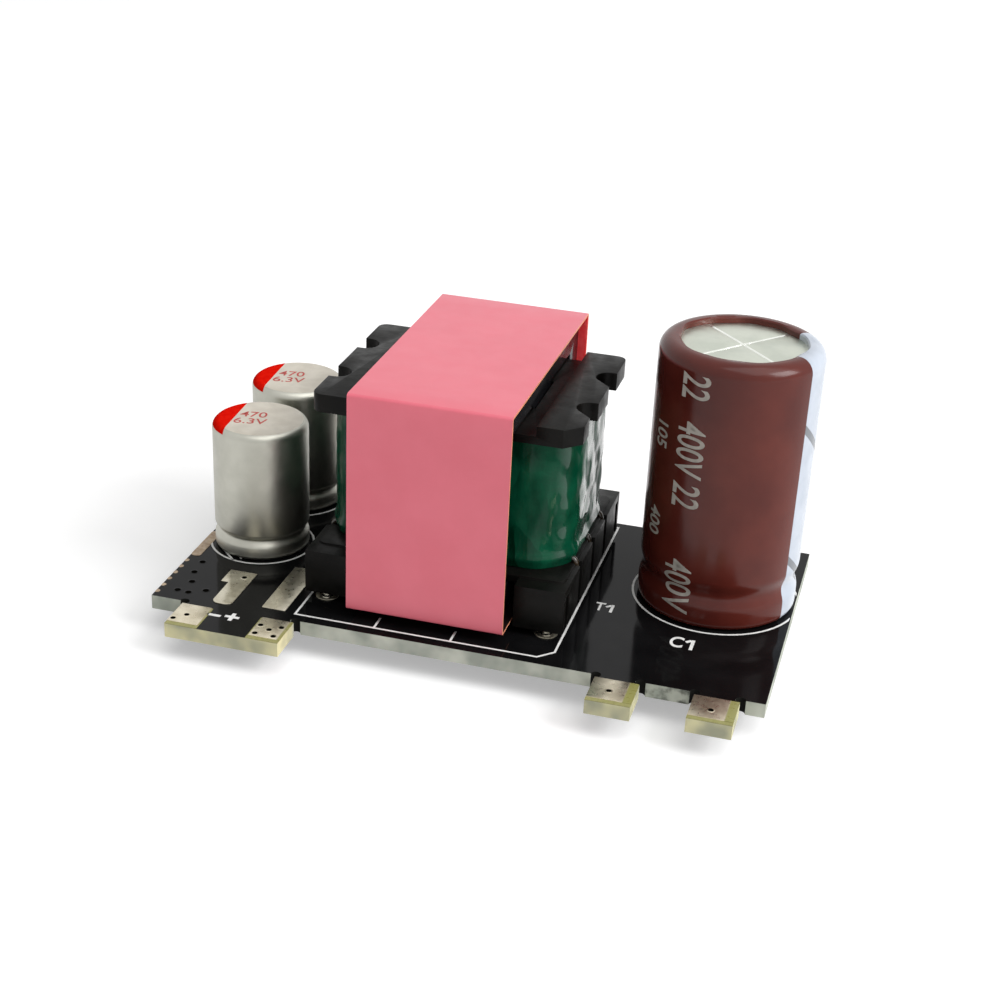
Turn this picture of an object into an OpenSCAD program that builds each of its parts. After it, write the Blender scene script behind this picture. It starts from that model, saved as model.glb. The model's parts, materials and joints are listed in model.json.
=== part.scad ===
// Open-frame power supply module: a board with three plug-in tabs, an E-core transformer,
// a bulk capacitor, two output capacitors, and surface-mounted parts on the underside.
// X runs along the board, the tabs point to -Y, and Z = 0 is the plane of the trimmed lead ends.

/* [Board] */
// Length of the board
board_l = 50; // [45:0.5:60]
// Depth of the board without its tabs
board_d = 26.4; // [26.2:0.2:32]
// Thickness of the board
board_t = 1.2; // [0.8:0.2:2]
// Length of the tabs
tab_len = 3.9; // [3:0.1:6]
// Width of the DC tab
dc_tab_w = 9.5; // [8.5:0.5:10.5]
// DC tab's distance from the board's left edge
dc_tab_inset = 2.9; // [1.5:0.1:4]
// Width of each AC tab
ac_tab_w = 3.5; // [2.5:0.1:4]
// Distance between the AC tabs' centres
ac_tab_pitch = 7.7; // [6:0.1:9]
// Last AC tab's distance from the board's right edge
ac_tab_inset = 1.9; // [1:0.1:3]
// Radius of the relief drill at a tab's root
relief_r = 0.4; // [0.2:0.05:0.6]
// Length of a lead below the board
lead_trim = 2; // [1.9:0.1:3]
// Room round a lead in its hole
hole_clearance = 0.15; // [0.05:0.05:0.3]

/* [Lands and solder] */
// Thickness of a tinned land
land_t = 0.08; // [0.04:0.01:0.09]
// Width of a tab's land on the DC tab
dc_land_w = 2.6; // [2:0.1:3.5]
// Bare margin round a tab's land
land_margin = 0.45; // [0.2:0.05:0.8]
// Gap between the strip land and the transformer
strip_gap = 0.65; // [0.3:0.05:1]
// Strip land's distance from the board's front edge
strip_y = 1.1; // [0.5:0.1:2]
// Width of the strip land
strip_w = 2; // [1.5:0.1:2.2]
// Depth of the strip land
strip_d = 7.4; // [5:0.1:8]
// Stepped land's distance from the board's left edge
step_land_x = 4.3; // [3:0.05:4.6]
// Stepped land's distance from the board's front edge
step_land_y = 0.5; // [0.3:0.1:1]
// Width of the stepped land's rear part
step_rear_w = 2.35; // [1.8:0.05:2.6]
// Depth of the stepped land's rear part
step_rear_d = 2.1; // [1:0.1:2.4]
// Step in the stepped land's left edge
step_shift = 0.65; // [0.3:0.05:0.8]
// Depth of the stepped land's front part
step_front_d = 3.6; // [2:0.1:4]
// Radius of the stepped land's front corners
step_end_r = 0.6; // [0.2:0.1:0.8]
// Radius of the ring round a pin
ring_r = 0.95; // [0.8:0.05:1.1]
// Radius of a solder joint at the board
joint_r = 0.95; // [0.7:0.05:1.1]
// Height of a solder joint
joint_h = 1.1; // [0.6:0.1:1.6]

/* [Transformer core] */
// Transformer's centre along the board, from midway between the capacitors
transformer_x = -0.3; // [-1:0.05:1]
// Transformer's centre from the board's front edge
transformer_y = 13.9; // [13:0.1:14]
// Length of the core, across the board
core_len = 24.2; // [22.5:0.1:24.6]
// Thickness of the core, along the board
core_w = 11.4; // [9:0.1:12]
// Height of both core halves together
core_h = 18; // [15:0.5:22]
// Thickness of a yoke
yoke_t = 2.6; // [2:0.1:3.4]
// Thickness of an outer leg
outer_leg_t = 2.75; // [2:0.05:3]
// Thickness of the centre leg
centre_leg_t = 5.6; // [4.5:0.1:6.2]
// Air gap between the centre legs
air_gap = 0.3; // [0.1:0.05:0.8]
// Radius of the core's outer edges
core_edge_r = 0.4; // [0.2:0.1:0.8]
// Height of the core above the board
core_lift = 1.1; // [0.9:0.1:2]
// Width of the tape belt
tape_w = 12.9; // [12.4:0.1:13.4]
// Thickness of the tape belt
tape_t = 0.18; // [0.06:0.02:0.3]

/* [Bobbin] */
// Wall of the bobbin's tube
bobbin_wall = 0.8; // [0.5:0.1:1.1]
// Room between the centre leg and the tube
leg_clearance = 0.2; // [0.1:0.05:0.4]
// Corner radius of the tube
tube_r = 0.3; // [0.2:0.1:1]
// Width of the upper flange, along the board
flange_w = 21.5; // [21:0.1:22.5]
// Room between the upper flange and the outer legs
flange_clearance = 0.9; // [0.3:0.1:1.2]
// Room between a flange and the yoke over it
yoke_clearance = 0.1; // [0.05:0.05:0.3]
// Thickness of the upper flange under the yoke
flange_t = 0.65; // [0.5:0.05:1]
// Thickness of the upper flange's side wings
wing_t = 1.5; // [1.2:0.1:2.2]
// Corner radius of the flanges
flange_r = 0.8; // [0.4:0.1:1.5]
// Room between a wing and the side of the core
side_clearance = 1.65; // [1.2:0.05:1.9]
// Chamfer that marks the first pin's corner
key_chamfer = 1.3; // [0.8:0.1:1.8]
// Width of a wire notch in a wing
notch_w = 2.2; // [1.4:0.1:2.8]
// Depth of a wire notch
notch_depth = 1.5; // [1.2:0.1:2]
// Angle of a right-hand notch's flared front lip
notch_flare = 45; // [20:5:50]
// Distance between the two notches of a wing
notch_pitch = 6.8; // [5:0.2:8]
// Thickness of the lower flange
lower_flange_t = 0.65; // [0.6:0.05:1]
// Lower flange's step back from the rail's outer face
lower_flange_inset = 0.4; // [0.2:0.1:0.5]
// Length of a pin rail
rail_l = 20; // [19.6:0.2:22]
// Room between the tape belt and a rail
rail_clearance = 0.2; // [0.1:0.05:0.4]
// Overlap in height of a rail with the lower flange
rail_step = 0.5; // [0.3:0.1:0.8]
// Height of the rails above the board, on their feet
rail_lift = 0.65; // [0.62:0.01:0.8]
// Width of the wire grooves in a rail's outer face
groove_w = 0.9; // [0.7:0.1:1.2]
// Depth of the wire grooves
groove_d = 0.9; // [0.7:0.05:0.95]
// Roof over the end grooves of a rail
groove_roof = 0.65; // [0.3:0.05:1]
// Pins in a row
pin_count = 5; // [3:2:5]
// Distance between pins
pin_pitch = 4.5; // [4:0.1:4.6]
// Distance between the two rows of pins
pin_row = 18.4; // [17.9:0.1:18.6]
// Radius of a pin
pin_r = 0.35; // [0.25:0.05:0.45]
// Length of a pin inside its rail
pin_seat = 2.6; // [1.5:0.1:3]

/* [Winding] */
// Thickness of the primary winding
primary_t = 1.7; // [1:0.1:1.8]
// Thickness of the insulation between the windings
layer_t = 0.1; // [0.05:0.05:0.2]
// Thickness of the secondary winding
secondary_t = 1.5; // [1:0.1:1.6]
// Thickness of the outer wrap
wrap_t = 0.2; // [0.1:0.05:0.3]
// Radius of a lead-out wire
lead_out_r = 0.25; // [0.15:0.01:0.26]
// Radius of a lead-out wire's bends
bend_r = 0.5; // [0.4:0.05:0.6]
// Room above and below the winding
winding_clearance = 0.1; // [0.05:0.05:0.3]

/* [Bulk capacitor] */
// Bulk capacitor's centre from the board's right edge
bulk_inset = 6.6; // [6.6:0.1:7.2]
// Bulk capacitor's centre from the board's front edge
bulk_y = 16.1; // [14:0.1:18]
// Diameter over the sleeve
bulk_d = 13; // [12:0.1:13.2]
// Height over the sleeve
bulk_h = 22.5; // [18:0.5:30]
// Thickness of the sleeve
sleeve_t = 0.15; // [0.1:0.05:0.25]
// Radius of the sleeve's opening on the can's end
sleeve_open_r = 4.95; // [4:0.05:5.2]
// Radius of the can's top edge
bulk_edge_r = 1; // [0.6:0.1:1.4]
// Height of the crimp groove above the board
bulk_groove_z = 2.8; // [2.5:0.1:4]
// Radius of the crimp groove's section
bulk_groove_r = 1; // [0.6:0.1:1.2]
// Depth of the crimp groove
bulk_groove_depth = 0.3; // [0.2:0.05:0.5]
// Length of the vent score's strokes
score_l = 7.6; // [5:0.2:8]
// Width of the vent score
score_w = 0.3; // [0.2:0.05:0.5]
// Depth of the vent score
score_depth = 0.12; // [0.05:0.01:0.2]
// Distance between the leads
bulk_pitch = 5; // [4:0.5:6]
// Radius of a lead
bulk_lead_r = 0.3; // [0.25:0.05:0.4]

/* [Output capacitors] */
// Front capacitor's centre from the board's left edge
output_x = 4.7; // [4.5:0.1:5.4]
// Rear capacitor's step to the left of the front one
output_rear_shift = 0.4; // [0:0.1:0.4]
// Front capacitor's centre from the board's front edge
output_front_y = 12.2; // [11:0.1:13]
// Rear capacitor's centre from the board's front edge
output_rear_y = 21.9; // [21.4:0.1:22.2]
// Diameter of the can
output_d = 8; // [7:0.1:8.2]
// Height of the can
output_h = 11.4; // [8:0.1:14]
// Radius of the can's top edge
output_edge_r = 0.7; // [0.4:0.1:1.2]
// Height of the crimp groove above the board
output_groove_z = 1.75; // [1.6:0.05:2.5]
// Radius of the crimp groove's section
output_groove_r = 0.55; // [0.4:0.05:0.7]
// Depth of the crimp groove
output_groove_depth = 0.3; // [0.15:0.05:0.4]
// Distance between the leads
output_pitch = 3.5; // [3:0.1:4]
// Radius of a lead
output_lead_r = 0.3; // [0.2:0.05:0.35]

/* [Can bottoms] */
// Radius of the rolled rim
rim_r = 0.5; // [0.3:0.05:0.6]
// Width of the rolled rim inwards
rim_w = 1; // [0.8:0.1:1.4]
// Depth of the bung below the rim's edge
seal_inset = 0.2; // [0.1:0.05:0.4]
// Thickness of the rubber bung
seal_t = 1; // [0.8:0.1:1.2]

/* [Underside parts] */
// Height of a moulded package
package_h = 1.45; // [1.2:0.05:1.6]
// Gap between a package and the board
package_lift = 0.1; // [0.05:0.05:0.15]
// Draft of a moulded package's sides
package_draft = 0.12; // [0.05:0.01:0.2]
// Radius of the dimple that marks a package's first lead
dimple_r = 0.35; // [0.2:0.05:0.5]
// Depth of the dimple
dimple_depth = 0.1; // [0.05:0.01:0.15]
// Dimple's distance from a package's edges
dimple_inset = 0.8; // [0.6:0.05:1]
// Length of an eight-lead package
package_l = 4.9; // [4.5:0.1:5.2]
// Width of an eight-lead package
package_w = 3.9; // [3.5:0.1:4]
// Length of the bridge rectifier
bridge_l = 4.7; // [4.4:0.1:5]
// Width of the bridge rectifier
bridge_w = 4; // [3.6:0.1:4.2]
// Distance between a package's leads
package_pitch = 1.27; // [1:0.01:1.3]
// Distance between the bridge rectifier's leads
bridge_pitch = 2.5; // [2.2:0.1:2.7]
// Width of a package lead
package_lead_w = 0.4; // [0.3:0.05:0.5]
// Thickness of a package lead
package_lead_t = 0.2; // [0.15:0.05:0.25]
// Reach of a package lead out to its bend
package_lead_out = 0.5; // [0.4:0.05:0.6]
// Length of a package lead's foot
package_foot = 0.5; // [0.4:0.05:0.6]
// Length of a small chip part
chip_l = 2; // [1.6:0.1:2.2]
// Width of a small chip part
chip_w = 1.25; // [0.8:0.05:1.3]
// Height of a small chip part
chip_h = 0.6; // [0.4:0.05:1]
// Length of a chip part's end cap
cap_l = 0.4; // [0.3:0.05:0.5]
// Length of the fuse and of the diodes
fuse_l = 3.2; // [2.8:0.1:3.4]
// Width of the fuse and of the diodes
fuse_w = 1.6; // [1.4:0.1:1.8]
// Height of the fuse and of the diodes
fuse_h = 1; // [0.8:0.1:1.3]
// Length of the barrier capacitor
barrier_l = 4.6; // [4.2:0.1:5]
// Width of the barrier capacitor
barrier_w = 2; // [1.6:0.1:2.2]
// Height of the barrier capacitor
barrier_h = 1.6; // [1.2:0.1:1.7]
// Gap between neighbouring parts and solder joints
part_gap = 1.4; // [0.8:0.1:1.5]
// Controller's step back from the bulk capacitor's centre
controller_step = 3.6; // [3:0.1:4.2]
// Barrier capacitor's step back from the transformer's centre
barrier_step = 9.6; // [9:0.1:10]
// Small chips' columns, each side of the transformer's centre
chip_column = 5.6; // [4.8:0.1:6]
// Front row of small chips, in front of the transformer's centre
chip_start = 8.9; // [8:0.1:10]
// Distance between rows of small chips
chip_pitch = 2.4; // [2:0.1:2.6]

/* [Hidden] */
$fn = 64;

// Board frame
left = -board_l / 2;
right = board_l / 2;
front = (tab_len - board_d) / 2;
board_top = lead_trim + board_t;
dc_tab_left = left + dc_tab_inset;
ac_tab_right = right - ac_tab_inset;
ac_tab_lefts = [ac_tab_right - ac_tab_w - ac_tab_pitch, ac_tab_right - ac_tab_w];
TABS = [[dc_tab_left, dc_tab_w], [ac_tab_lefts[0], ac_tab_w], [ac_tab_lefts[1], ac_tab_w]];
root_overlap = 0.5;

// Centres of the tall parts
bulk_mid = [right - bulk_inset, front + bulk_y];
output_mid_x = left + output_x;
OUTPUTS = [
    [output_mid_x, front + output_front_y],
    [output_mid_x - output_rear_shift, front + output_rear_y]
];
capacitor_gap_mid = (output_mid_x + output_d / 2 + bulk_mid[0] - bulk_d / 2) / 2;
transformer_mid = [capacitor_gap_mid + transformer_x, front + transformer_y];

// Heights in the transformer, above the board
core_top = core_lift + core_h;
upper_floor = core_top - yoke_t - yoke_clearance;
upper_under = upper_floor - flange_t;
lower_under = core_lift + yoke_t + yoke_clearance;
lower_top = lower_under + lower_flange_t;
rail_top = lower_under + rail_step;
winding_low = lower_top + 2 * lead_out_r + winding_clearance;
winding_high = upper_under - winding_clearance;

// Plan sizes in the transformer
tube_x = core_w + 2 * (leg_clearance + bobbin_wall);
tube_y = centre_leg_t + 2 * (leg_clearance + bobbin_wall);
window_y = core_len / 2 - outer_leg_t;
flange_d = 2 * (window_y - flange_clearance);
rail_in = tape_w / 2 + rail_clearance;
rail_out = flange_w / 2;
foot_w = 1.2;
cut = 1;

// Build of the winding outwards from the tube
layer_in = primary_t;
secondary_in = layer_in + layer_t;
wrap_in = secondary_in + secondary_t;

// Lead-out wire
run_z = lower_top + lead_out_r;
drop_x = rail_out - groove_d / 2;
foot_gap = 0.05;
foot_z = rail_lift - lead_out_r - foot_gap;
LEAD_OUT_ROWS = [-pin_pitch, 0, pin_pitch];

// Columns and rows of the underside parts, each clear of the solder joints beside it
lead_span = package_lead_out + package_foot;
joint_gap = joint_r + part_gap;
primary_column = (transformer_mid[0] + pin_row / 2 + bulk_mid[0]) / 2;
secondary_column = (transformer_mid[0] - pin_row / 2 + output_mid_x) / 2;
controller_y = bulk_mid[1] + controller_step;
rear_diode_y = controller_y - package_l / 2 - part_gap - fuse_l / 2;
diode_pitch = fuse_l + part_gap;
bridge_y = bulk_mid[1] - bulk_pitch / 2 - joint_gap - lead_span - bridge_w / 2;
sync_y = front + output_front_y - output_pitch / 2 - joint_gap - lead_span - package_w / 2;
filter_y = front + (output_front_y + output_rear_y) / 2;
snubber_y = bulk_mid[1] + bulk_pitch / 2 + joint_gap + chip_w / 2;

// Places of the underside parts: centre and turn
SYNC_PLACE = [output_mid_x, sync_y, 0];
CONTROLLER_PLACE = [primary_column, controller_y, 90];
BRIDGE_PLACE = [bulk_mid[0], bridge_y, 0];
DIODE_PLACES = [for (i = [0:1]) [primary_column, rear_diode_y - i * diode_pitch, 90]];
FUSE_PLACE = [primary_column, rear_diode_y - 2 * diode_pitch, 90];
BARRIER_PLACE = [transformer_mid[0], transformer_mid[1] + barrier_step, 0];
RESISTOR_PLACES = [
    for (row = [0, 1, 2]) chip_place(chip_column, row),
    for (row = [0, 1]) chip_place(-chip_column, row),
    for (row = [0, 1]) [bulk_mid[0], snubber_y + row * chip_pitch, 0]
];
CAPACITOR_PLACES = [
    for (row = [4, 5]) chip_place(chip_column, row),
    for (row = [3, 4]) chip_place(-chip_column, row),
    [secondary_column, filter_y, 0]
];
SMALL_CHIPS = concat(RESISTOR_PLACES, CAPACITOR_PLACES);

function chip_place(column, row) =
    [transformer_mid[0] + column, transformer_mid[1] - chip_start + row * chip_pitch, 0];

module rounded_rect(w, d, r) {
    square([w - 2 * r, d], center = true);
    square([w, d - 2 * r], center = true);
    for (x = [-1, 1], y = [-1, 1]) {
        translate([x * (w / 2 - r), y * (d / 2 - r)]) circle(r);
    }
}

// Stands a plan drawn in Y and Z up, and extrudes it along X
module along_x(length) {
    rotate([90, 0, 90]) linear_extrude(length, center = true) children();
}

module at_transformer(z = 0) {
    translate([transformer_mid[0], transformer_mid[1], z]) children();
}

module at_pin_places() {
    for (side = [-1, 1], i = [0:pin_count - 1]) {
        translate([side * pin_row / 2, (i - (pin_count - 1) / 2) * pin_pitch, 0]) children();
    }
}

module at_pins() {
    at_transformer() at_pin_places() children();
}

module at_bulk(z = 0) {
    translate([bulk_mid[0], bulk_mid[1], z]) children();
}

module at_bulk_leads() {
    at_bulk() for (side = [-1, 1]) translate([0, side * bulk_pitch / 2, 0]) children();
}

module at_output(place, z = 0) {
    translate([place[0], place[1], z]) children();
}

module at_output_leads() {
    for (place = OUTPUTS, side = [-1, 1]) {
        at_output(place) translate([0, side * output_pitch / 2, 0]) children();
    }
}

// Turns a part over and sets it on the underside of the board
module under_board(place) {
    translate([place[0], place[1], lead_trim]) rotate([0, 0, place[2]]) mirror([0, 0, 1]) children();
}

// Board, lands and solder
module circuit_board() {
    color([0.06, 0.06, 0.07]) translate([0, 0, lead_trim]) linear_extrude(board_t) difference() {
        union() {
            translate([left, front]) square([board_l, board_d]);
            for (tab = TABS) {
                translate([tab[0], front - tab_len]) square([tab[1], tab_len + root_overlap]);
            }
        }
        for (tab = TABS, x = [tab[0], tab[0] + tab[1]]) translate([x, front]) circle(relief_r);
        at_pins() circle(pin_r + hole_clearance);
        at_bulk_leads() circle(bulk_lead_r + hole_clearance);
        at_output_leads() circle(output_lead_r + hole_clearance);
    }
}

// A land from the board's front left corner
module land(x, y, w, d) {
    translate([left + x, front + y]) square([w, d]);
}

// A land with a step in its left edge and round front corners
module step_land() {
    front_w = step_rear_w - step_shift;
    front_span = step_front_d + step_end_r;
    land(step_land_x, step_land_y + step_front_d, step_rear_w, step_rear_d);
    translate([left + step_land_x + step_rear_w - front_w / 2, front + step_land_y + front_span / 2])
        rounded_rect(front_w, front_span, step_end_r);
}

module tab_land(x, w) {
    translate([x, front - tab_len + land_margin]) square([w, tab_len - 2 * land_margin]);
}

module tinned_lands() {
    color([0.72, 0.7, 0.66]) translate([0, 0, board_top]) linear_extrude(land_t) {
        step_land();
        land(transformer_mid[0] - left - flange_w / 2 - strip_gap - strip_w, strip_y, strip_w, strip_d);
        tab_land(dc_tab_left, dc_land_w);
        tab_land(dc_tab_left + dc_tab_w - dc_land_w, dc_land_w);
        for (x = ac_tab_lefts) tab_land(x, ac_tab_w);
        at_pins() difference() {
            circle(ring_r);
            circle(pin_r + hole_clearance);
        }
    }
}

module joint(lead_r) {
    translate([0, 0, lead_trim]) mirror([0, 0, 1]) difference() {
        cylinder(h = joint_h, r1 = joint_r, r2 = lead_r + hole_clearance);
        translate([0, 0, -cut]) cylinder(h = joint_h + 2 * cut, r = lead_r);
    }
}

module solder_joints() {
    color([0.75, 0.75, 0.76]) {
        at_pins() joint(pin_r);
        at_bulk_leads() joint(bulk_lead_r);
        at_output_leads() joint(output_lead_r);
    }
}

// Transformer core
module core_section() {
    difference() {
        translate([0, core_lift + core_h / 2]) rounded_rect(core_len, core_h, core_edge_r);
        for (side = [-1, 1]) {
            translate([side * (window_y + centre_leg_t / 2) / 2, core_lift + core_h / 2])
                square([window_y - centre_leg_t / 2, core_h - 2 * yoke_t], center = true);
        }
        translate([0, core_lift + core_h / 2]) square([centre_leg_t, air_gap], center = true);
    }
}

module core_half(z) {
    at_transformer(board_top) along_x(core_w) intersection() {
        core_section();
        translate([-core_len, z]) square([2 * core_len, core_h / 2]);
    }
}

module core_upper() {
    color([0.16, 0.16, 0.17]) core_half(core_lift + core_h / 2);
}

module core_lower() {
    color([0.16, 0.16, 0.17]) core_half(core_lift);
}

module core_tape() {
    color([0.86, 0.5, 0.56]) at_transformer(board_top + core_lift + core_h / 2) along_x(tape_w) difference() {
        rounded_rect(core_len + 2 * tape_t, core_h + 2 * tape_t, core_edge_r + tape_t);
        rounded_rect(core_len, core_h, core_edge_r);
    }
}

// Bobbin
module upper_flange_plan() {
    difference() {
        rounded_rect(flange_w, flange_d, flange_r);
        for (side = [-1, 1], y = [-notch_pitch / 2, notch_pitch / 2]) {
            translate([side * (flange_w - 2 * notch_depth + notch_w) / 2, y]) {
                circle(notch_w / 2);
                translate([side * notch_depth / 2, 0]) square([notch_depth, notch_w], center = true);
                if (side > 0) {
                    rotate(-notch_flare) translate([0, -notch_w / 2]) square([2 * notch_depth, notch_w / 2]);
                }
            }
        }
        translate([flange_w / 2, -flange_d / 2]) rotate(45) square(key_chamfer * sqrt(2), center = true);
    }
}

module rail() {
    translate([rail_in, -rail_l / 2, rail_lift]) cube([rail_out - rail_in, rail_l, rail_top - rail_lift]);
    for (y = [-1.5 * pin_pitch, 1.5 * pin_pitch]) {
        translate([rail_in, y - foot_w / 2, 0]) cube([foot_w, foot_w, rail_lift + root_overlap]);
    }
}

module bobbin_form() {
    translate([0, 0, lower_under]) linear_extrude(upper_floor - lower_under)
        rounded_rect(tube_x, tube_y, tube_r);
    translate([0, 0, upper_under]) linear_extrude(wing_t) upper_flange_plan();
    translate([0, 0, lower_under]) linear_extrude(lower_flange_t)
        rounded_rect(flange_w - 2 * lower_flange_inset, flange_d, flange_r);
    for (side = [0, 1]) mirror([side, 0, 0]) rail();
}

module bobbin() {
    channel_w = core_w + 2 * side_clearance;
    leg_hole = [core_w + 2 * leg_clearance, centre_leg_t + 2 * leg_clearance, core_h];
    color([0.1, 0.1, 0.11]) at_transformer(board_top) difference() {
        bobbin_form();
        translate([0, 0, core_top / 2]) cube(leg_hole, center = true);
        translate([-channel_w / 2, -flange_d, upper_floor]) cube([channel_w, 2 * flange_d, wing_t]);
        at_pin_places() translate([0, 0, -cut]) cylinder(h = rail_lift + pin_seat + cut, r = pin_r);
        for (side = [0, 1], i = [0:pin_count - 1]) mirror([side, 0, 0]) {
            groove_top = i % (pin_count - 1) == 0 ? rail_top - groove_roof : rail_top + cut;
            translate([rail_out - groove_d, (i - (pin_count - 1) / 2) * pin_pitch - groove_w / 2, 0])
                cube([groove_d + cut, groove_w, groove_top]);
        }
    }
}

module bobbin_pins() {
    color([0.78, 0.78, 0.78]) at_pins() cylinder(h = board_top + rail_lift + pin_seat, r = pin_r);
}

// Winding
module winding_layer(inner, t) {
    at_transformer(board_top + winding_low) linear_extrude(winding_high - winding_low) difference() {
        rounded_rect(tube_x + 2 * (inner + t), tube_y + 2 * (inner + t), tube_r + inner + t);
        rounded_rect(tube_x + 2 * inner, tube_y + 2 * inner, tube_r + inner);
    }
}

module primary_winding() {
    color([0.72, 0.42, 0.2]) winding_layer(0, primary_t);
}

module layer_insulation() {
    color([0.9, 0.8, 0.3]) winding_layer(layer_in, layer_t);
}

module secondary_winding() {
    color([0.8, 0.6, 0.3]) winding_layer(secondary_in, secondary_t);
}

module winding_wrap() {
    color([0.05, 0.25, 0.17]) winding_layer(wrap_in, wrap_t);
}

module wire_along_x(x_from, x_to, z) {
    translate([x_from, 0, z]) rotate([0, 90, 0]) cylinder(h = x_to - x_from, r = lead_out_r);
}

module wire_bend() {
    rotate([90, 0, 0]) rotate_extrude(angle = 90) translate([bend_r, 0]) circle(lead_out_r);
}

module lead_out() {
    bend_x = drop_x - bend_r;
    wire_along_x(tube_x / 2 + primary_t, bend_x, run_z);
    translate([bend_x, 0, run_z - bend_r]) wire_bend();
    translate([drop_x, 0, foot_z + bend_r]) cylinder(h = run_z - foot_z - 2 * bend_r, r = lead_out_r);
    translate([bend_x, 0, foot_z + bend_r]) mirror([0, 0, 1]) wire_bend();
    wire_along_x(pin_row / 2 + pin_r, bend_x, foot_z);
}

module lead_outs() {
    color([0.12, 0.12, 0.1]) at_transformer(board_top) for (side = [0, 1], y = LEAD_OUT_ROWS) {
        mirror([side, 0, 0]) translate([0, y, 0]) lead_out();
    }
}

// Capacitors
// Half section of a can from its rim up, with a crimp groove and a round top edge
module can_section(r, bottom, top, edge_r, bottom_r, groove_z, groove_r, groove_depth) {
    difference() {
        union() {
            translate([0, bottom]) square([r - edge_r, top - bottom]);
            translate([0, bottom]) square([r - bottom_r, top - bottom - edge_r]);
            translate([0, bottom + bottom_r]) square([r, top - bottom - bottom_r - edge_r]);
            translate([r - edge_r, top - edge_r]) circle(edge_r);
            translate([r - bottom_r, bottom + bottom_r]) circle(bottom_r);
        }
        translate([r + groove_r - groove_depth, groove_z]) circle(groove_r);
    }
}

module seal(r, lead_pitch, lead_r) {
    translate([0, 0, seal_inset]) difference() {
        cylinder(h = seal_t, r = r);
        for (side = [-1, 1]) {
            translate([0, side * lead_pitch / 2, -cut]) cylinder(h = seal_t + 2 * cut, r = lead_r);
        }
    }
}

module seal_recess(r) {
    translate([0, 0, -cut]) cylinder(h = seal_inset + seal_t + cut, r = r);
}

bulk_can_r = bulk_d / 2 - sleeve_t;
bulk_can_top = bulk_h - sleeve_t;
bulk_seal_r = bulk_can_r - rim_w;
output_seal_r = output_d / 2 - rim_w;

module bulk_section(grow) {
    can_section(
        bulk_can_r + grow, sleeve_t - grow, bulk_can_top + grow, bulk_edge_r + grow, rim_r + grow,
        bulk_groove_z, bulk_groove_r - grow, bulk_groove_depth
    );
}

module bulk_can() {
    color([0.8, 0.81, 0.79]) at_bulk(board_top) difference() {
        rotate_extrude() bulk_section(0);
        translate([0, 0, sleeve_t]) seal_recess(bulk_seal_r);
        for (turn = [45, 135]) {
            translate([0, 0, bulk_can_top]) rotate(turn)
                cube([score_l, score_w, 2 * score_depth], center = true);
        }
    }
}

module bulk_sleeve() {
    color([0.36, 0.2, 0.18]) at_bulk(board_top) rotate_extrude() difference() {
        bulk_section(sleeve_t);
        bulk_section(0);
        translate([0, bulk_h / 2]) square([sleeve_open_r, bulk_h]);
        translate([0, -cut]) square([bulk_seal_r, bulk_h]);
    }
}

module bulk_seal() {
    color([0.1, 0.1, 0.1]) at_bulk(board_top + sleeve_t) seal(bulk_seal_r, bulk_pitch, bulk_lead_r);
}

module bulk_leads() {
    color([0.75, 0.75, 0.75]) at_bulk_leads()
        cylinder(h = board_top + sleeve_t + seal_inset + seal_t, r = bulk_lead_r);
}

module output_can(place) {
    color([0.75, 0.74, 0.72]) at_output(place, board_top) difference() {
        rotate_extrude() can_section(
            output_d / 2, 0, output_h, output_edge_r, rim_r,
            output_groove_z, output_groove_r, output_groove_depth
        );
        seal_recess(output_seal_r);
    }
}

module output_can_front() {
    output_can(OUTPUTS[0]);
}

module output_can_rear() {
    output_can(OUTPUTS[1]);
}

module output_seals() {
    color([0.1, 0.1, 0.1]) for (place = OUTPUTS) {
        at_output(place, board_top) seal(output_seal_r, output_pitch, output_lead_r);
    }
}

module output_leads() {
    color([0.75, 0.75, 0.75]) at_output_leads()
        cylinder(h = board_top + seal_inset + seal_t, r = output_lead_r);
}

// Surface-mounted parts, drawn upright with the board at Z = 0
module drafted_section(span) {
    half = span / 2;
    inner = half - package_draft;
    polygon([
        [-inner, 0], [inner, 0], [half, package_h / 2], [inner, package_h], [-inner, package_h],
        [-half, package_h / 2]
    ]);
}

// A moulded body with draft both ways from its parting line and a dimple at its first lead
module package_body(l, w) {
    translate([0, 0, package_lift]) difference() {
        intersection() {
            along_x(l) drafted_section(w);
            rotate([90, 0, 0]) linear_extrude(w, center = true) drafted_section(l);
        }
        translate([dimple_inset - l / 2, dimple_inset - w / 2, package_h - dimple_depth])
            cylinder(h = dimple_depth + cut, r = dimple_r);
    }
}

module package_lead() {
    half_t = package_lead_t / 2;
    mid = package_lift + package_h / 2;
    out = package_lead_out;
    foot_end = out + package_foot;
    rotate([90, 0, 90]) linear_extrude(package_lead_w, center = true) polygon([
        [0, mid + half_t], [out + half_t, mid + half_t], [out + half_t, package_lead_t],
        [foot_end, package_lead_t], [foot_end, 0], [out - half_t, 0],
        [out - half_t, mid - half_t], [0, mid - half_t]
    ]);
}

module lead_rows(w, count, pitch) {
    for (side = [0, 1], i = [0:count - 1]) {
        mirror([0, side, 0]) translate([(i - (count - 1) / 2) * pitch, w / 2, 0]) package_lead();
    }
}

module bridge_rectifier() {
    color([0.1, 0.1, 0.1]) under_board(BRIDGE_PLACE) package_body(bridge_l, bridge_w);
}

module switch_controller() {
    color([0.1, 0.1, 0.1]) under_board(CONTROLLER_PLACE) package_body(package_l, package_w);
}

module sync_rectifier() {
    color([0.1, 0.1, 0.1]) under_board(SYNC_PLACE) package_body(package_l, package_w);
}

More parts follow.
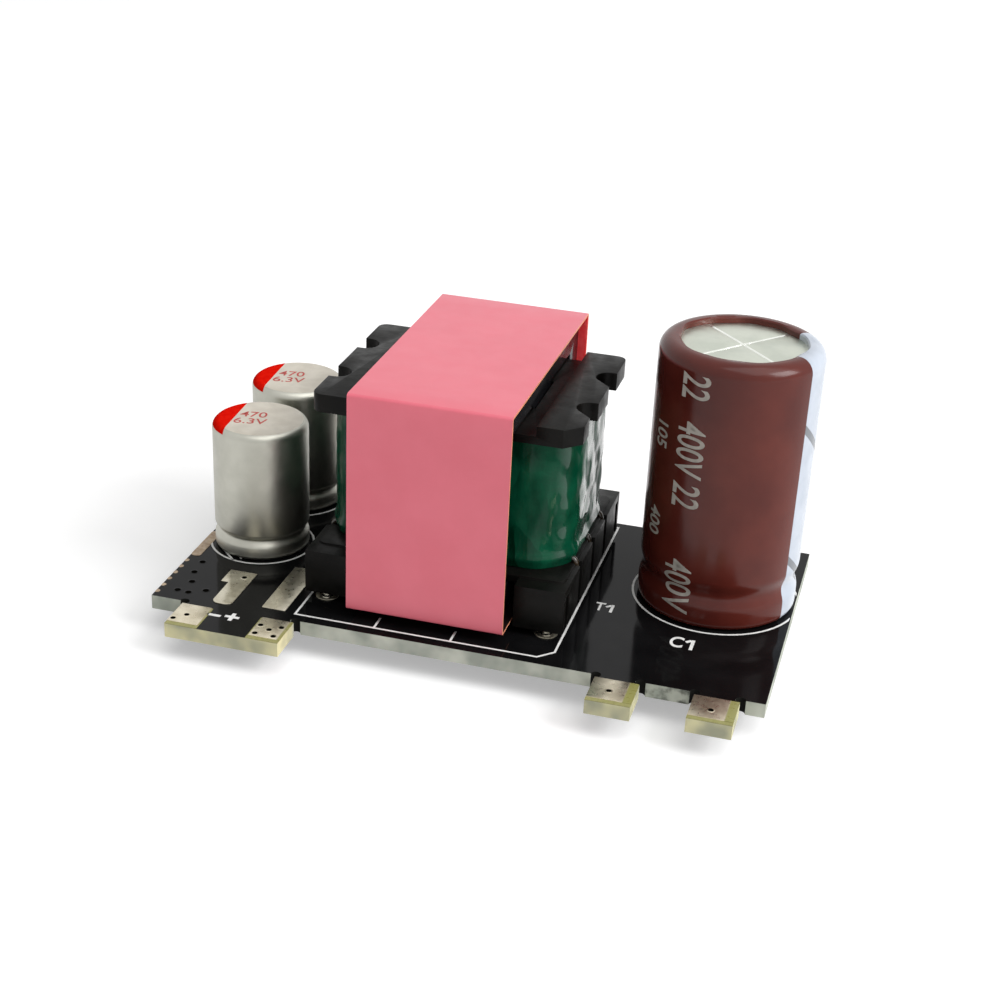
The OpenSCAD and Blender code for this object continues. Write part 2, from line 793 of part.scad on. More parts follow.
module package_leads() {
    color([0.75, 0.75, 0.76]) {
        under_board(BRIDGE_PLACE) lead_rows(bridge_w, 2, bridge_pitch);
        for (place = [CONTROLLER_PLACE, SYNC_PLACE]) {
            under_board(place) lead_rows(package_w, 4, package_pitch);
        }
    }
}

module chip_body(l, w, h) {
    translate([cap_l - l / 2, -w / 2, 0]) cube([l - 2 * cap_l, w, h]);
}

module chip_caps(l, w, h) {
    for (side = [0, 1]) mirror([side, 0, 0]) translate([l / 2 - cap_l, -w / 2, 0]) cube([cap_l, w, h]);
}

module input_fuse() {
    color([0.9, 0.9, 0.88]) under_board(FUSE_PLACE) chip_body(fuse_l, fuse_w, fuse_h);
}

module diodes() {
    color([0.1, 0.1, 0.1]) for (place = DIODE_PLACES) under_board(place) chip_body(fuse_l, fuse_w, fuse_h);
}

module barrier_capacitor() {
    color([0.62, 0.5, 0.36]) under_board(BARRIER_PLACE) chip_body(barrier_l, barrier_w, barrier_h);
}

module chip_resistors() {
    color([0.08, 0.08, 0.08]) for (place = RESISTOR_PLACES) under_board(place)
        chip_body(chip_l, chip_w, chip_h);
}

module chip_capacitors() {
    color([0.62, 0.5, 0.36]) for (place = CAPACITOR_PLACES) under_board(place)
        chip_body(chip_l, chip_w, chip_h);
}

module chip_terminals() {
    color([0.75, 0.75, 0.76]) {
        under_board(FUSE_PLACE) chip_caps(fuse_l, fuse_w, fuse_h);
        for (place = DIODE_PLACES) under_board(place) chip_caps(fuse_l, fuse_w, fuse_h);
        under_board(BARRIER_PLACE) chip_caps(barrier_l, barrier_w, barrier_h);
        for (place = SMALL_CHIPS) under_board(place) chip_caps(chip_l, chip_w, chip_h);
    }
}

circuit_board();
tinned_lands();
solder_joints();
core_upper();
core_lower();
core_tape();
bobbin();
bobbin_pins();
primary_winding();
layer_insulation();
secondary_winding();
winding_wrap();
lead_outs();
bulk_can();
bulk_sleeve();
bulk_seal();
bulk_leads();
output_can_front();
output_can_rear();
output_seals();
output_leads();
bridge_rectifier();
switch_controller();
sync_rectifier();
package_leads();
input_fuse();
diodes();
barrier_capacitor();
chip_resistors();
chip_capacitors();
chip_terminals();
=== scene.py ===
"""Looks of an open-frame power supply module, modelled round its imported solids."""
import json
import math

import bmesh
import bpy
from mathutils import Matrix, Vector, noise


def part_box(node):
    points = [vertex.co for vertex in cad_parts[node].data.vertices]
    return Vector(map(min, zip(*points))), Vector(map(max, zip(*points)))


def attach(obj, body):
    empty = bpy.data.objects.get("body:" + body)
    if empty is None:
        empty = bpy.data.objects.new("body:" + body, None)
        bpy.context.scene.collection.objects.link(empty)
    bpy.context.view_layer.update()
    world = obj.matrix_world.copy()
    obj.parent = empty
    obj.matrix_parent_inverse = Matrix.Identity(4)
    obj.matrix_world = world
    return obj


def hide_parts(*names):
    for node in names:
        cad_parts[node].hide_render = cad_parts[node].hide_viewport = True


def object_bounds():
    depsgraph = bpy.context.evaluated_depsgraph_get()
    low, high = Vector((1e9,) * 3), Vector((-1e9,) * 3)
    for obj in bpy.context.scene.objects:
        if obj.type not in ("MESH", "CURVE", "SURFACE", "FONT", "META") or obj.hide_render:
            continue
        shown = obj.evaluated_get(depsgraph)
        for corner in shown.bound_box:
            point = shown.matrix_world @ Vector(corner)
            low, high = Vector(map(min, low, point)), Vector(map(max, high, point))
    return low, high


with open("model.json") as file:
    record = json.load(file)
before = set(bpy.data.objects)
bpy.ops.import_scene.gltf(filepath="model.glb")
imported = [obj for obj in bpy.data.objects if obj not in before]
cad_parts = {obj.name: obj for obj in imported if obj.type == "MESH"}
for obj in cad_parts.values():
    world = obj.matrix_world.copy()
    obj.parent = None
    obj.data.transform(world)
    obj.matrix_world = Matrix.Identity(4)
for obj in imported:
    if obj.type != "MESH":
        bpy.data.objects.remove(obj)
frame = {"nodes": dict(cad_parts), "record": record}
nodes = frame["nodes"]
cad_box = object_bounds()

MM = 0.001
WELD = 0.0005 * MM
UP = Vector((0, 0, 1))

# The board, from its solid and its seat on the host board
board_low, board_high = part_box("circuit_board")
BOARD_LEFT = board_low.x
BOARD_TOP = board_high.z
BOARD_UNDER = board_low.z
host_seat = next(mount for mount in frame["record"]["mounts"] if mount["name"] == "host_seat")
BOARD_FRONT = host_seat["pos_m"][1]
TAB_LENGTH = (BOARD_FRONT - board_low.y) / MM

# Heights in mm: the lands' tops above the board, and where print starts and its thickness
LAND_TOP = 0.08
INK_LIFT = 0.012
INK_THICK = 0.018


def rgb(red, green, blue):
    """A screen colour, 0 to 255, as the linear colour that shaders take."""
    shares = [channel / 255 for channel in (red, green, blue)]
    linear = [s / 12.92 if s <= 0.04045 else ((s + 0.055) / 1.055) ** 2.4 for s in shares]
    return (*linear, 1.0)


def on_board(x, y, z=0.0):
    """A place in mm from the board's front left corner, with z above its top."""
    return Vector((BOARD_LEFT + x * MM, BOARD_FRONT + y * MM, BOARD_TOP + z * MM))


def middle(node):
    """The middle of a node's box."""
    low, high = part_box(node)
    return (low + high) / 2


# Modelling bench
def alone(piece):
    """Makes a piece the only one selected, and the active one."""
    bpy.ops.object.select_all(action="DESELECT")
    piece.select_set(True)
    bpy.context.view_layer.objects.active = piece


def settle(piece, name):
    """Names a new piece and puts its place, turn and size into its mesh."""
    alone(piece)
    bpy.ops.object.transform_apply(location=True, rotation=True, scale=True)
    piece.name = name
    piece.data.name = name
    return piece


class Bench:
    """Edit mode on one piece, where points, edges or faces are picked by a test."""

    def __init__(self, piece, picks="FACE"):
        self.piece = piece
        self.picks = picks

    def __enter__(self):
        alone(self.piece)
        bpy.ops.object.mode_set(mode="EDIT")
        bpy.ops.mesh.select_mode(type=self.picks)
        return self

    def __exit__(self, *problem):
        bpy.ops.object.mode_set(mode="OBJECT")

    def pick(self, test):
        bpy.ops.mesh.select_all(action="DESELECT")
        form = bmesh.from_edit_mesh(self.piece.data)
        parts = {"VERT": form.verts, "EDGE": form.edges, "FACE": form.faces}[self.picks]
        for part in parts:
            part.select_set(bool(test(part)))
        form.select_flush_mode()
        bmesh.update_edit_mesh(self.piece.data)

    def pick_all(self):
        bpy.ops.mesh.select_all(action="SELECT")

    def cut(self, place, way, **settings):
        """Cuts what is picked along a plane."""
        bpy.ops.mesh.bisect(plane_co=place, plane_no=way, threshold=WELD, **settings)

    def weld(self):
        self.pick_all()
        bpy.ops.mesh.remove_doubles(threshold=WELD)
        bpy.ops.mesh.normals_make_consistent(inside=False)


def runs_along(edge, axis):
    """Whether an edge runs along an axis, which is given as 0, 1 or 2."""
    nearly_along = 0.99
    direction = (edge.verts[1].co - edge.verts[0].co).normalized()
    return abs(direction[axis]) > nearly_along


def modify(piece, kind, **settings):
    """Adds a modifier and applies it at once."""
    alone(piece)
    modifier = piece.modifiers.new(kind.lower(), kind)
    for name, value in settings.items():
        setattr(modifier, name, value)
    bpy.ops.object.modifier_apply(modifier=modifier.name)
    return piece


def block(name, low, high):
    """A box between two corners."""
    bpy.ops.object.select_all(action="DESELECT")
    bpy.ops.mesh.primitive_cube_add(size=1, location=(low + high) / 2, scale=high - low)
    return settle(bpy.context.active_object, name)


def sheet_of(name, low, high):
    """A flat rectangle between two corners at one height."""
    span = high - low
    bpy.ops.object.select_all(action="DESELECT")
    bpy.ops.mesh.primitive_plane_add(size=1, location=(low + high) / 2)
    piece = bpy.context.active_object
    piece.scale = (span.x, span.y, 1)
    return settle(piece, name)


def lathe(name, axis, profile, steps=96):
    """Draws a half section point by point, in mm out from an axis and up, and spins it."""
    start = profile[0]
    bpy.ops.object.select_all(action="DESELECT")
    place = axis + Vector((start[0], 0, start[1])) * MM
    bpy.ops.mesh.primitive_plane_add(size=MM, location=place)
    piece = settle(bpy.context.active_object, name)
    with Bench(piece, "VERT") as bench:
        bench.pick_all()
        bpy.ops.mesh.merge(type="CENTER")
        for before, after in zip(profile, profile[1:]):
            step = Vector((after[0] - before[0], 0, after[1] - before[1])) * MM
            bpy.ops.mesh.extrude_vertices_move(TRANSFORM_OT_translate={"value": step})
        bench.pick_all()
        bpy.ops.mesh.spin(steps=steps, angle=math.tau, center=axis, axis=UP)
        bench.weld()
    return piece


def arc(centre, radius, start, end, steps=6):
    """Points of a half section along an arc, with angles in degrees from outwards to up."""
    angles = [math.radians(start + (end - start) * i / steps) for i in range(steps + 1)]
    return [(centre[0] + radius * math.cos(a), centre[1] + radius * math.sin(a)) for a in angles]


def groove(radius, height, half, depth, steps=10):
    """Points of a half section down into a soft groove and out again, going up."""
    shares = [2 * i / steps - 1 for i in range(steps + 1)]
    return [(radius - depth * math.cos(s * math.pi / 2) ** 2, height + s * half) for s in shares]


def joined(name, pieces):
    """Joins pieces into the first of them."""
    alone(pieces[0])
    for piece in pieces:
        piece.select_set(True)
    bpy.ops.object.join()
    pieces[0].name = name
    pieces[0].data.name = name
    return pieces[0]


def spread_out(name, piece, offsets):
    """One piece from a copy of a model piece at each offset. The model itself goes."""
    twins = []
    for offset in offsets:
        twin = piece.copy()
        twin.data = piece.data.copy()
        twin.data.transform(Matrix.Translation(offset))
        bpy.context.collection.objects.link(twin)
        twins.append(twin)
    bpy.data.objects.remove(piece)
    return joined(name, twins)


def eased(name, node, width, segments=2):
    """A welded copy of a solid with its sharp edges eased."""
    flat, sharp = math.radians(0.4), math.radians(35)
    piece = nodes[node].copy()
    piece.data = nodes[node].data.copy()
    piece.parent = None
    for key in list(piece.keys()):
        del piece[key]
    bpy.context.collection.objects.link(piece)
    settle(piece, name)
    with Bench(piece) as bench:
        bench.pick_all()
        bpy.ops.mesh.remove_doubles(threshold=WELD)
        bpy.ops.mesh.customdata_custom_splitnormals_clear()
        bpy.ops.mesh.dissolve_limited(angle_limit=flat)
    modify(
        piece, "BEVEL", width=width * MM, segments=segments, limit_method="ANGLE",
        angle_limit=sharp, use_clamp_overlap=True, miter_outer="MITER_ARC",
    )
    return piece


def thicken(piece, thickness):
    """Gives a flat drawing a body upwards from where it lies."""
    with Bench(piece) as bench:
        bench.weld()
    return modify(piece, "SOLIDIFY", thickness=thickness * MM, offset=1)


def lettering(name, words, height, place, turn=0.0, narrow=1.0, weight=0.0):
    """Plain words as a flat mesh, centred on a place, with capitals of a height in mm."""
    capital_share = 0.69
    size = height * MM / capital_share
    bpy.ops.object.select_all(action="DESELECT")
    bpy.ops.object.text_add(location=(0, 0, 0))
    piece = bpy.context.active_object
    piece.data.body = words
    piece.data.offset = weight * MM / size
    piece.data.align_x = "CENTER"
    piece.data.align_y = "CENTER"
    bpy.ops.object.convert(target="MESH")
    piece = bpy.context.active_object
    piece.data.transform(Matrix.Diagonal((narrow * size, size, size, 1)))
    piece.data.transform(Matrix.Translation(place) @ Matrix.Rotation(math.radians(turn), 4, "Z"))
    return settle(piece, name)


def paint(piece, *finishes):
    """Gives a piece its materials in order."""
    piece.data.materials.clear()
    for finish in finishes:
        piece.data.materials.append(finish.material)


def seat(piece, finish, stands_for=(), smooth=35):
    """Finishes a piece: its material, its shading and its place on the part."""
    if finish:
        paint(piece, finish)
    alone(piece)
    bpy.ops.object.shade_smooth_by_angle(angle=math.radians(smooth))
    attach(piece, "root")
    if stands_for:
        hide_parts(*stands_for)
    return piece


# Finishes
class Finish:
    """A procedural material: nodes on Object coordinates that feed one Principled shader."""

    def __init__(self, name, constants):
        self.material = bpy.data.materials.new(name)
        self.material.use_nodes = True
        self.tree = self.material.node_tree
        self.shader = self.tree.nodes["Principled BSDF"]
        for socket, value in constants.items():
            self.shader.inputs[socket].default_value = value
        self.place = self.tree.nodes.new("ShaderNodeTexCoord").outputs["Object"]

    def feed(self, socket, value):
        """Links a node's result to a socket, or sets a plain value there."""
        if isinstance(value, bpy.types.NodeSocket):
            self.tree.links.new(value, socket)
        else:
            socket.default_value = value

    def add(self, kind, inputs, **settings):
        """Adds a node with its inputs fed and its settings made."""
        made = self.tree.nodes.new(kind)
        for name, value in settings.items():
            setattr(made, name, value)
        for name, value in inputs.items():
            self.feed(made.inputs[name], value)
        return made

    def shifted(self, origin, scale=(1, 1, 1)):
        """Object coordinates measured from a place, with each axis stretched."""
        offset = [-o * s for o, s in zip(origin, scale)]
        return self.add(
            "ShaderNodeMapping", {"Vector": self.place, "Location": offset, "Scale": scale}
        ).outputs["Vector"]

    def stretched(self, *scale):
        """Object coordinates with each axis stretched."""
        return self.shifted((0, 0, 0), scale)

    def axes(self, vector):
        return self.add("ShaderNodeSeparateXYZ", {"Vector": vector}).outputs

    def noise(self, size, detail=3.0, place=None):
        """Soft noise whose blotches are about a size in mm."""
        inputs = {"Vector": place or self.place, "Scale": 1 / (size * MM), "Detail": detail}
        return self.add("ShaderNodeTexNoise", inputs).outputs["Fac"]

    def spread(self, value, low, high, start=0.35, stop=0.65):
        """Maps a value from start..stop to low..high."""
        inputs = {"Value": value, "From Min": start, "From Max": stop, "To Min": low, "To Max": high}
        return self.add("ShaderNodeMapRange", inputs).outputs["Result"]

    def maths(self, operation, *values):
        """A Math node on values or other nodes' results."""
        made = self.add("ShaderNodeMath", {}, operation=operation)
        for socket, value in zip(made.inputs, values):
            self.feed(socket, value)
        return made.outputs[0]

    def between(self, value, low, high, soft):
        """1 where a value lies from low to high, with soft edges."""
        rise = self.spread(value, 0, 1, low - soft, low + soft)
        fall = self.spread(value, 1, 0, high - soft, high + soft)
        return self.maths("MULTIPLY", rise, fall)

    def blend(self, share, first, second):
        """Mixes two colours. A Mix node keeps its colour sockets behind those of other types."""
        factor, colour_a, colour_b, colour_out = 0, 6, 7, 2
        made = self.add("ShaderNodeMix", {}, data_type="RGBA")
        self.feed(made.inputs[factor], share)
        self.feed(made.inputs[colour_a], first)
        self.feed(made.inputs[colour_b], second)
        return made.outputs[colour_out]

    def mottle(self, size, first, second, detail=3.0):
        """Two colours in soft blotches of about a size in mm."""
        share = self.spread(self.noise(size, detail), 0, 1)
        return self.blend(share, first, second)

    def colour(self, value):
        self.feed(self.shader.inputs["Base Color"], value)

    def rough(self, size, low, high):
        """A roughness that wanders from low to high."""
        share = self.noise(size, 4.0)
        self.feed(self.shader.inputs["Roughness"], self.spread(share, low, high))

    def relief(self, height, depth):
        """A bump of a depth in mm."""
        bump = self.add("ShaderNodeBump", {"Height": height, "Distance": depth * MM, "Strength": 1.0})
        self.feed(self.shader.inputs["Normal"], bump.outputs["Normal"])


def board_mask():
    """Glossy black solder mask on the faces, bare laminate on the cut edges, painted shade on the walls
    of the holes.
    """
    rim = 0.1 * MM
    tab_from, tab_to = BOARD_FRONT - 0.9 * MM, BOARD_FRONT - 0.2 * MM
    stain_from, stain_to, stain_soft = on_board(40.6, 0).x, on_board(44.5, 0).x, 0.3 * MM
    finish = Finish("board_mask", {"Specular IOR Level": 0.09})
    normal = finish.tree.nodes.new("ShaderNodeNewGeometry").outputs["Normal"]
    facing = finish.maths("ABSOLUTE", finish.axes(normal)["Z"])
    face = finish.spread(facing, 0, 1, 0.4, 0.6)
    mask = finish.mottle(3.0, rgb(13, 13, 14), rgb(19, 19, 20))
    grey_edge = finish.mottle(2.4, rgb(156, 161, 151), rgb(198, 201, 189), 2.0)
    tab_edge = finish.mottle(2.6, rgb(164, 164, 141), rgb(221, 215, 172), 2.0)
    place = finish.axes(finish.place)
    on_tab = finish.spread(place["Y"], 1, 0, tab_from, tab_to)
    edge = finish.blend(on_tab, grey_edge, tab_edge)
    stained = finish.between(place["X"], stain_from, stain_to, stain_soft)
    blotches = finish.spread(finish.noise(0.9, 4.0), 0, 0.85, 0.42, 0.6)
    edge = finish.blend(finish.maths("MULTIPLY", stained, blotches), edge, rgb(62, 66, 60))
    # Walls of the holes lie inside the board's outline and get painted shade, a near-black colour
    inside = finish.between(place["X"], board_low.x + rim, board_high.x - rim, 0.02 * MM)
    behind = finish.between(place["Y"], BOARD_FRONT + rim / 2, board_high.y - rim, 0.03 * MM)
    edge = finish.blend(finish.maths("MULTIPLY", inside, behind), edge, rgb(24, 24, 22))
    finish.colour(finish.blend(face, edge, mask))
    finish.feed(finish.shader.inputs["Roughness"], finish.spread(face, 0.75, 0.09, 0, 1))
    finish.relief(finish.noise(0.5, 4.0), 0.0015)
    return finish


def bare_laminate():
    finish = Finish("bare_laminate", {"Specular IOR Level": 0.35})
    weave = finish.noise(0.25, 3.0, finish.stretched(1, 0.35, 1))
    finish.colour(finish.blend(weave, rgb(128, 126, 76), rgb(166, 163, 110)))
    finish.rough(0.4, 0.4, 0.65)
    finish.relief(weave, 0.01)
    return finish


def hot_tin(name, metal, dark, light, low, high, depth):
    """Tin that froze in soft pools of a depth in mm."""
    finish = Finish(name, {"Metallic": metal})
    pools = finish.noise(0.9, 2.0)
    finish.colour(finish.blend(finish.spread(pools, 0, 1), dark, light))
    finish.rough(0.35, low, high)
    finish.relief(pools, depth)
    return finish


def tinned_land():
    """Tin on the lands, which leaves bare laminate down the right of three tabs."""
    bare_strips = [(12.15, 12.6), (39.68, 40.6), (47.4, 48.3)]
    strip_soft, root_soft = 0.06 * MM, 0.2 * MM
    metal = 0.9
    finish = hot_tin(
        "hot_tinned_land", metal, rgb(190, 183, 163), rgb(212, 206, 188), 0.26, 0.36, 0.005
    )
    tin = finish.shader.inputs["Base Color"].links[0].from_socket
    place = finish.axes(finish.place)
    on_tab = finish.spread(place["Y"], 1, 0, BOARD_FRONT - root_soft, BOARD_FRONT)
    tin = finish.blend(on_tab, tin, finish.mottle(0.9, rgb(202, 192, 168), rgb(222, 213, 190)))
    bare = 0.0
    for start, stop in bare_strips:
        strip = finish.between(place["X"], on_board(start, 0).x, on_board(stop, 0).x, strip_soft)
        bare = finish.maths("MAXIMUM", strip, bare)
    bare = finish.maths("MULTIPLY", bare, on_tab)
    finish.colour(finish.blend(bare, tin, rgb(138, 136, 80)))
    finish.feed(finish.shader.inputs["Metallic"], finish.spread(bare, metal, 0, 0, 1))
    return finish


def bright_wire():
    finish = Finish("bright_wire", {"Metallic": 1.0})
    streaks = finish.noise(0.3, 4.0, finish.stretched(1, 1, 0.1))
    finish.colour(finish.blend(streaks, rgb(196, 196, 194), rgb(226, 226, 224)))
    finish.rough(0.2, 0.18, 0.34)
    finish.relief(streaks, 0.006)
    return finish


def ferrite():
    finish = Finish("ground_ferrite", {"Specular IOR Level": 0.3})
    grain = finish.noise(0.08, 5.0)
    finish.colour(finish.blend(grain, rgb(18, 18, 20), rgb(36, 36, 39)))
    finish.rough(0.5, 0.16, 0.26)
    finish.relief(grain, 0.002)
    return finish


def pink_tape():
    """Polyester tape, slightly cloudy where the glue shows through."""
    finish = Finish("pink_tape", {"Specular IOR Level": 0.6})
    clouds = finish.noise(4.5, 4.0)
    finish.colour(finish.mottle(3.5, rgb(223, 105, 121), rgb(227, 110, 126), 4.0))
    finish.rough(1.5, 0.3, 0.36)
    creases = finish.noise(2.2, 3.0, finish.stretched(0.3, 1, 1))
    finish.relief(finish.maths("ADD", clouds, creases), 0.008)
    return finish


def tape_rim():
    """The cut edge of the tape's turns."""
    finish = Finish("tape_rim", {"Specular IOR Level": 0.3})
    turns = finish.noise(0.05, 2.0)
    finish.colour(finish.blend(turns, rgb(214, 120, 104), rgb(232, 168, 120)))
    finish.rough(0.3, 0.5, 0.65)
    finish.relief(turns, 0.01)
    return finish


def phenolic():
    """Moulded black former with a faint varnish film."""
    finish = Finish("moulded_phenolic", {"Specular IOR Level": 0.11})
    grain = finish.noise(0.35, 4.0)
    finish.colour(finish.mottle(2.5, rgb(8, 8, 7), rgb(17, 16, 14)))
    finish.rough(1.2, 0.3, 0.46)
    finish.relief(grain, 0.012)
    return finish


def green_varnish():
    """Green tape under a thick clear varnish that pooled in waves."""
    low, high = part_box("winding_wrap")
    half_span = (high.x - low.x) / 2
    end_from, end_to = half_span - 1.8 * MM, half_span - 0.8 * MM
    finish = Finish("varnished_green_tape", {"Specular IOR Level": 0.05, "Coat Roughness": 0.05})
    away = finish.axes(finish.shifted((low + high) / 2))
    aside = finish.maths("ABSOLUTE", away["X"])
    at_ends = finish.spread(aside, 0, 1, end_from, end_to)
    streaks = finish.noise(1.9, 2.0, finish.stretched(1, 1, 0.55))
    on_ends = finish.maths("MULTIPLY", at_ends, finish.spread(streaks, 0.1, 1, 0.45, 0.53))
    patches = finish.noise(3.4, 1.0, finish.stretched(1, 1, 0.45))
    on_faces = finish.spread(patches, 0.06, 0.26, 0.46, 0.54)
    finish.feed(finish.shader.inputs["Coat Weight"], finish.maths("MAXIMUM", on_ends, on_faces))
    runs = finish.noise(2.6, 1.0, finish.stretched(1, 1, 0.6))
    pools = finish.spread(runs, 0, 1, 0.4, 0.6)
    ripples = finish.noise(0.8, 2.0, finish.stretched(1, 1, 0.4))
    finish.colour(finish.mottle(3.0, rgb(1, 56, 37), rgb(10, 76, 52)))
    finish.rough(0.8, 0.3, 0.45)
    finish.relief(finish.maths("MULTIPLY_ADD", ripples, 0.2, pools), 0.3)
    return finish


def satin_aluminium(name, dark, light, low, high, upright=1.0):
    """Satin aluminium with soft stains and a fine grain, drawn upright where the share is small."""
    finish = Finish(name, {"Metallic": 1.0})
    stains = finish.noise(2.2, 3.0)
    finish.colour(finish.blend(finish.spread(stains, 0, 1), dark, light))
    finish.rough(1.0, low, high)
    finish.relief(finish.noise(0.12, 3.0, finish.stretched(1, 1, upright)), 0.0012)
    return finish


def mottled(name, constants, tones, rough, grain):
    """A surface in two tones. Its tones, roughness and grain each start with a size in mm."""
    finish = Finish(name, constants)
    finish.colour(finish.mottle(*tones))
    finish.rough(*rough)
    size, depth = grain
    finish.relief(finish.noise(size), depth)
    return finish


def printed(name, first, second, gloss=0.4):
    """Ink with a slightly uneven cover."""
    constants = {"Specular IOR Level": gloss}
    return mottled(name, constants, (0.5, first, second), (0.3, 0.5, 0.65), (0.15, 0.004))


def brown_sleeve(axis):
    """Red-brown shrink sleeve with a pale polarity stripe and dark chevrons down it."""
    stripe_from, stripe_to = math.radians(-26.5), math.radians(36)
    stripe_mid = (stripe_from + stripe_to) / 2
    chevron_pitch, chevron_slope, chevron_half = 11.3 * MM, 5.5 * MM, 0.38 * MM
    first_chevron = 5.6 * MM
    chevron_phase = chevron_slope * (stripe_to - stripe_from) / 2 - first_chevron + 2 * chevron_half
    finish = Finish("shrink_sleeve", {"Specular IOR Level": 0.28})
    away = finish.axes(finish.shifted(axis))
    turn = finish.maths("ARCTAN2", away["Y"], away["X"])
    stripe = finish.between(turn, stripe_from, stripe_to, 0.004)
    aside = finish.maths("ABSOLUTE", finish.maths("SUBTRACT", turn, stripe_mid))
    slant = finish.maths("MULTIPLY", aside, chevron_slope)
    height = finish.maths("SUBTRACT", finish.maths("ADD", away["Z"], chevron_phase), slant)
    along = finish.maths("FLOORED_MODULO", height, chevron_pitch)
    mark = finish.between(along, chevron_half, 3 * chevron_half, 0.03 * MM)
    brown = finish.mottle(5.0, rgb(80, 30, 24), rgb(94, 39, 31))
    pale = finish.mottle(2.0, rgb(178, 186, 198), rgb(190, 197, 208))
    band = finish.blend(mark, pale, rgb(116, 120, 126))
    finish.colour(finish.blend(stripe, brown, band))
    finish.rough(2.0, 0.16, 0.24)
    finish.relief(finish.noise(2.5, 3.0, finish.stretched(1, 1, 0.35)), 0.02)
    return finish


def matt_body(name, first, second, low, high, grain=0.1, depth=0.01, gloss=0.4):
    """Moulded, sintered or rubbery surface with a fine grain."""
    finish = Finish(name, {"Specular IOR Level": gloss})
    grains = finish.noise(grain, 4.0)
    finish.colour(finish.blend(finish.spread(grains, 0, 1), first, second))
    finish.rough(0.6, low, high)
    finish.relief(grains, depth)
    return finish


MASK = board_mask()
LAMINATE = bare_laminate()
EDGE_COPPER = mottled(
    "edge_copper", {"Metallic": 0.55},
    (0.5, rgb(150, 128, 106), rgb(188, 170, 146)), (0.3, 0.4, 0.65), (0.2, 0.008),
)
TIN = tinned_land()
SOLDER = hot_tin("solder", 1.0, rgb(186, 186, 188), rgb(220, 220, 222), 0.16, 0.3, 0.03)
WIRE = bright_wire()
FERRITE = ferrite()
TAPE = pink_tape()
# Light from outside shines through the tape's glue side
GLOW = {"Subsurface Weight": 1.0, "Subsurface Radius": (1.0, 0.5, 0.5), "Subsurface Scale": 0.5 * MM}
TAPE_GLUE = mottled(
    "tape_glue_side", {"Specular IOR Level": 0.4, **GLOW},
    (0.8, rgb(240, 80, 88), rgb(250, 104, 108)), (0.6, 0.45, 0.6), (0.4, 0.01),
)
TAPE_RIM = tape_rim()
PHENOLIC = phenolic()
VARNISH = green_varnish()
ENAMEL = mottled(
    "enamelled_wire", {"Metallic": 0.6, "Coat Weight": 0.6},
    (0.6, rgb(120, 72, 34), rgb(168, 104, 52)), (0.3, 0.2, 0.4), (0.2, 0.01),
)
LEAD = mottled(
    "varnished_lead", {"Coat Weight": 0.5, "Specular IOR Level": 0.5},
    (0.5, rgb(24, 22, 18), rgb(58, 44, 28)), (0.3, 0.2, 0.4), (0.25, 0.015),
)
FILM = mottled(
    "yellow_film", {"Specular IOR Level": 0.5},
    (2.0, rgb(222, 184, 60), rgb(238, 206, 92)), (1.0, 0.2, 0.35), (1.0, 0.01),
)
CAN_END = satin_aluminium("can_end", rgb(198, 203, 191), rgb(211, 215, 203), 0.36, 0.44)
# Painted highlight: lighter, glossier metal along the score lines
SCORE_HIGHLIGHT = satin_aluminium("scored_line_highlight", rgb(234, 237, 229), rgb(244, 246, 240), 0.24, 0.32)
CAN_WALL = satin_aluminium("satin_can", rgb(174, 173, 163), rgb(185, 184, 174), 0.38, 0.46, 0.05)
LACQUER = mottled(
    "cream_lacquer", {"Specular IOR Level": 0.4},
    (1.2, rgb(206, 198, 183), rgb(220, 213, 199)), (0.6, 0.35, 0.5), (0.3, 0.006),
)
RED_INK = printed("red_ink", rgb(222, 18, 8), rgb(232, 28, 14), 0.0)
RATING_INK = printed("dark_red_ink", rgb(176, 66, 60), rgb(196, 84, 76))
SLEEVE_INK = printed("pale_grey_ink", rgb(164, 158, 150), rgb(184, 178, 170), 0.2)
LEGEND = printed("white_legend", rgb(222, 222, 220), rgb(240, 240, 238))
# Painted shade: near-black for the bores of the vias
HOLE_SHADE = matt_body("via_bore_shade", rgb(6, 6, 5), rgb(14, 12, 9), 0.7, 0.9, gloss=0.0)
RUBBER = matt_body("bung_rubber", rgb(26, 26, 26), rgb(40, 40, 40), 0.6, 0.8)
# Painted shade: near-black for the inside of the tape's bottom wall, where the core shades it
INNER_SHADE = matt_body("painted_inner_shade", rgb(15, 9, 9), rgb(30, 16, 16), 0.3, 0.45, 0.6)
EPOXY = matt_body("moulded_epoxy", rgb(30, 30, 31), rgb(44, 44, 45), 0.5, 0.65, 0.06)
FUSE_BODY = matt_body("white_ceramic", rgb(216, 216, 208), rgb(232, 232, 226), 0.4, 0.55)
CERAMIC = matt_body("brown_ceramic", rgb(150, 120, 84), rgb(176, 146, 108), 0.35, 0.5, 0.05)


# Board
def mask_openings():
    """Bare laminate that shows round the lands on the tabs."""
    tab_boxes = [(2.9, 5.6), (9.7, 12.4), (36.9, 40.4), (44.6, 48.1)]
    root_gap = 0.5
    plates = []
    for start, stop in tab_boxes:
        low = on_board(start, -TAB_LENGTH, INK_LIFT)
        high = on_board(stop, -root_gap, INK_LIFT)
        plates.append(thicken(sheet_of("mask_opening", low, high), INK_THICK))
    seat(joined("mask_openings", plates), LAMINATE)


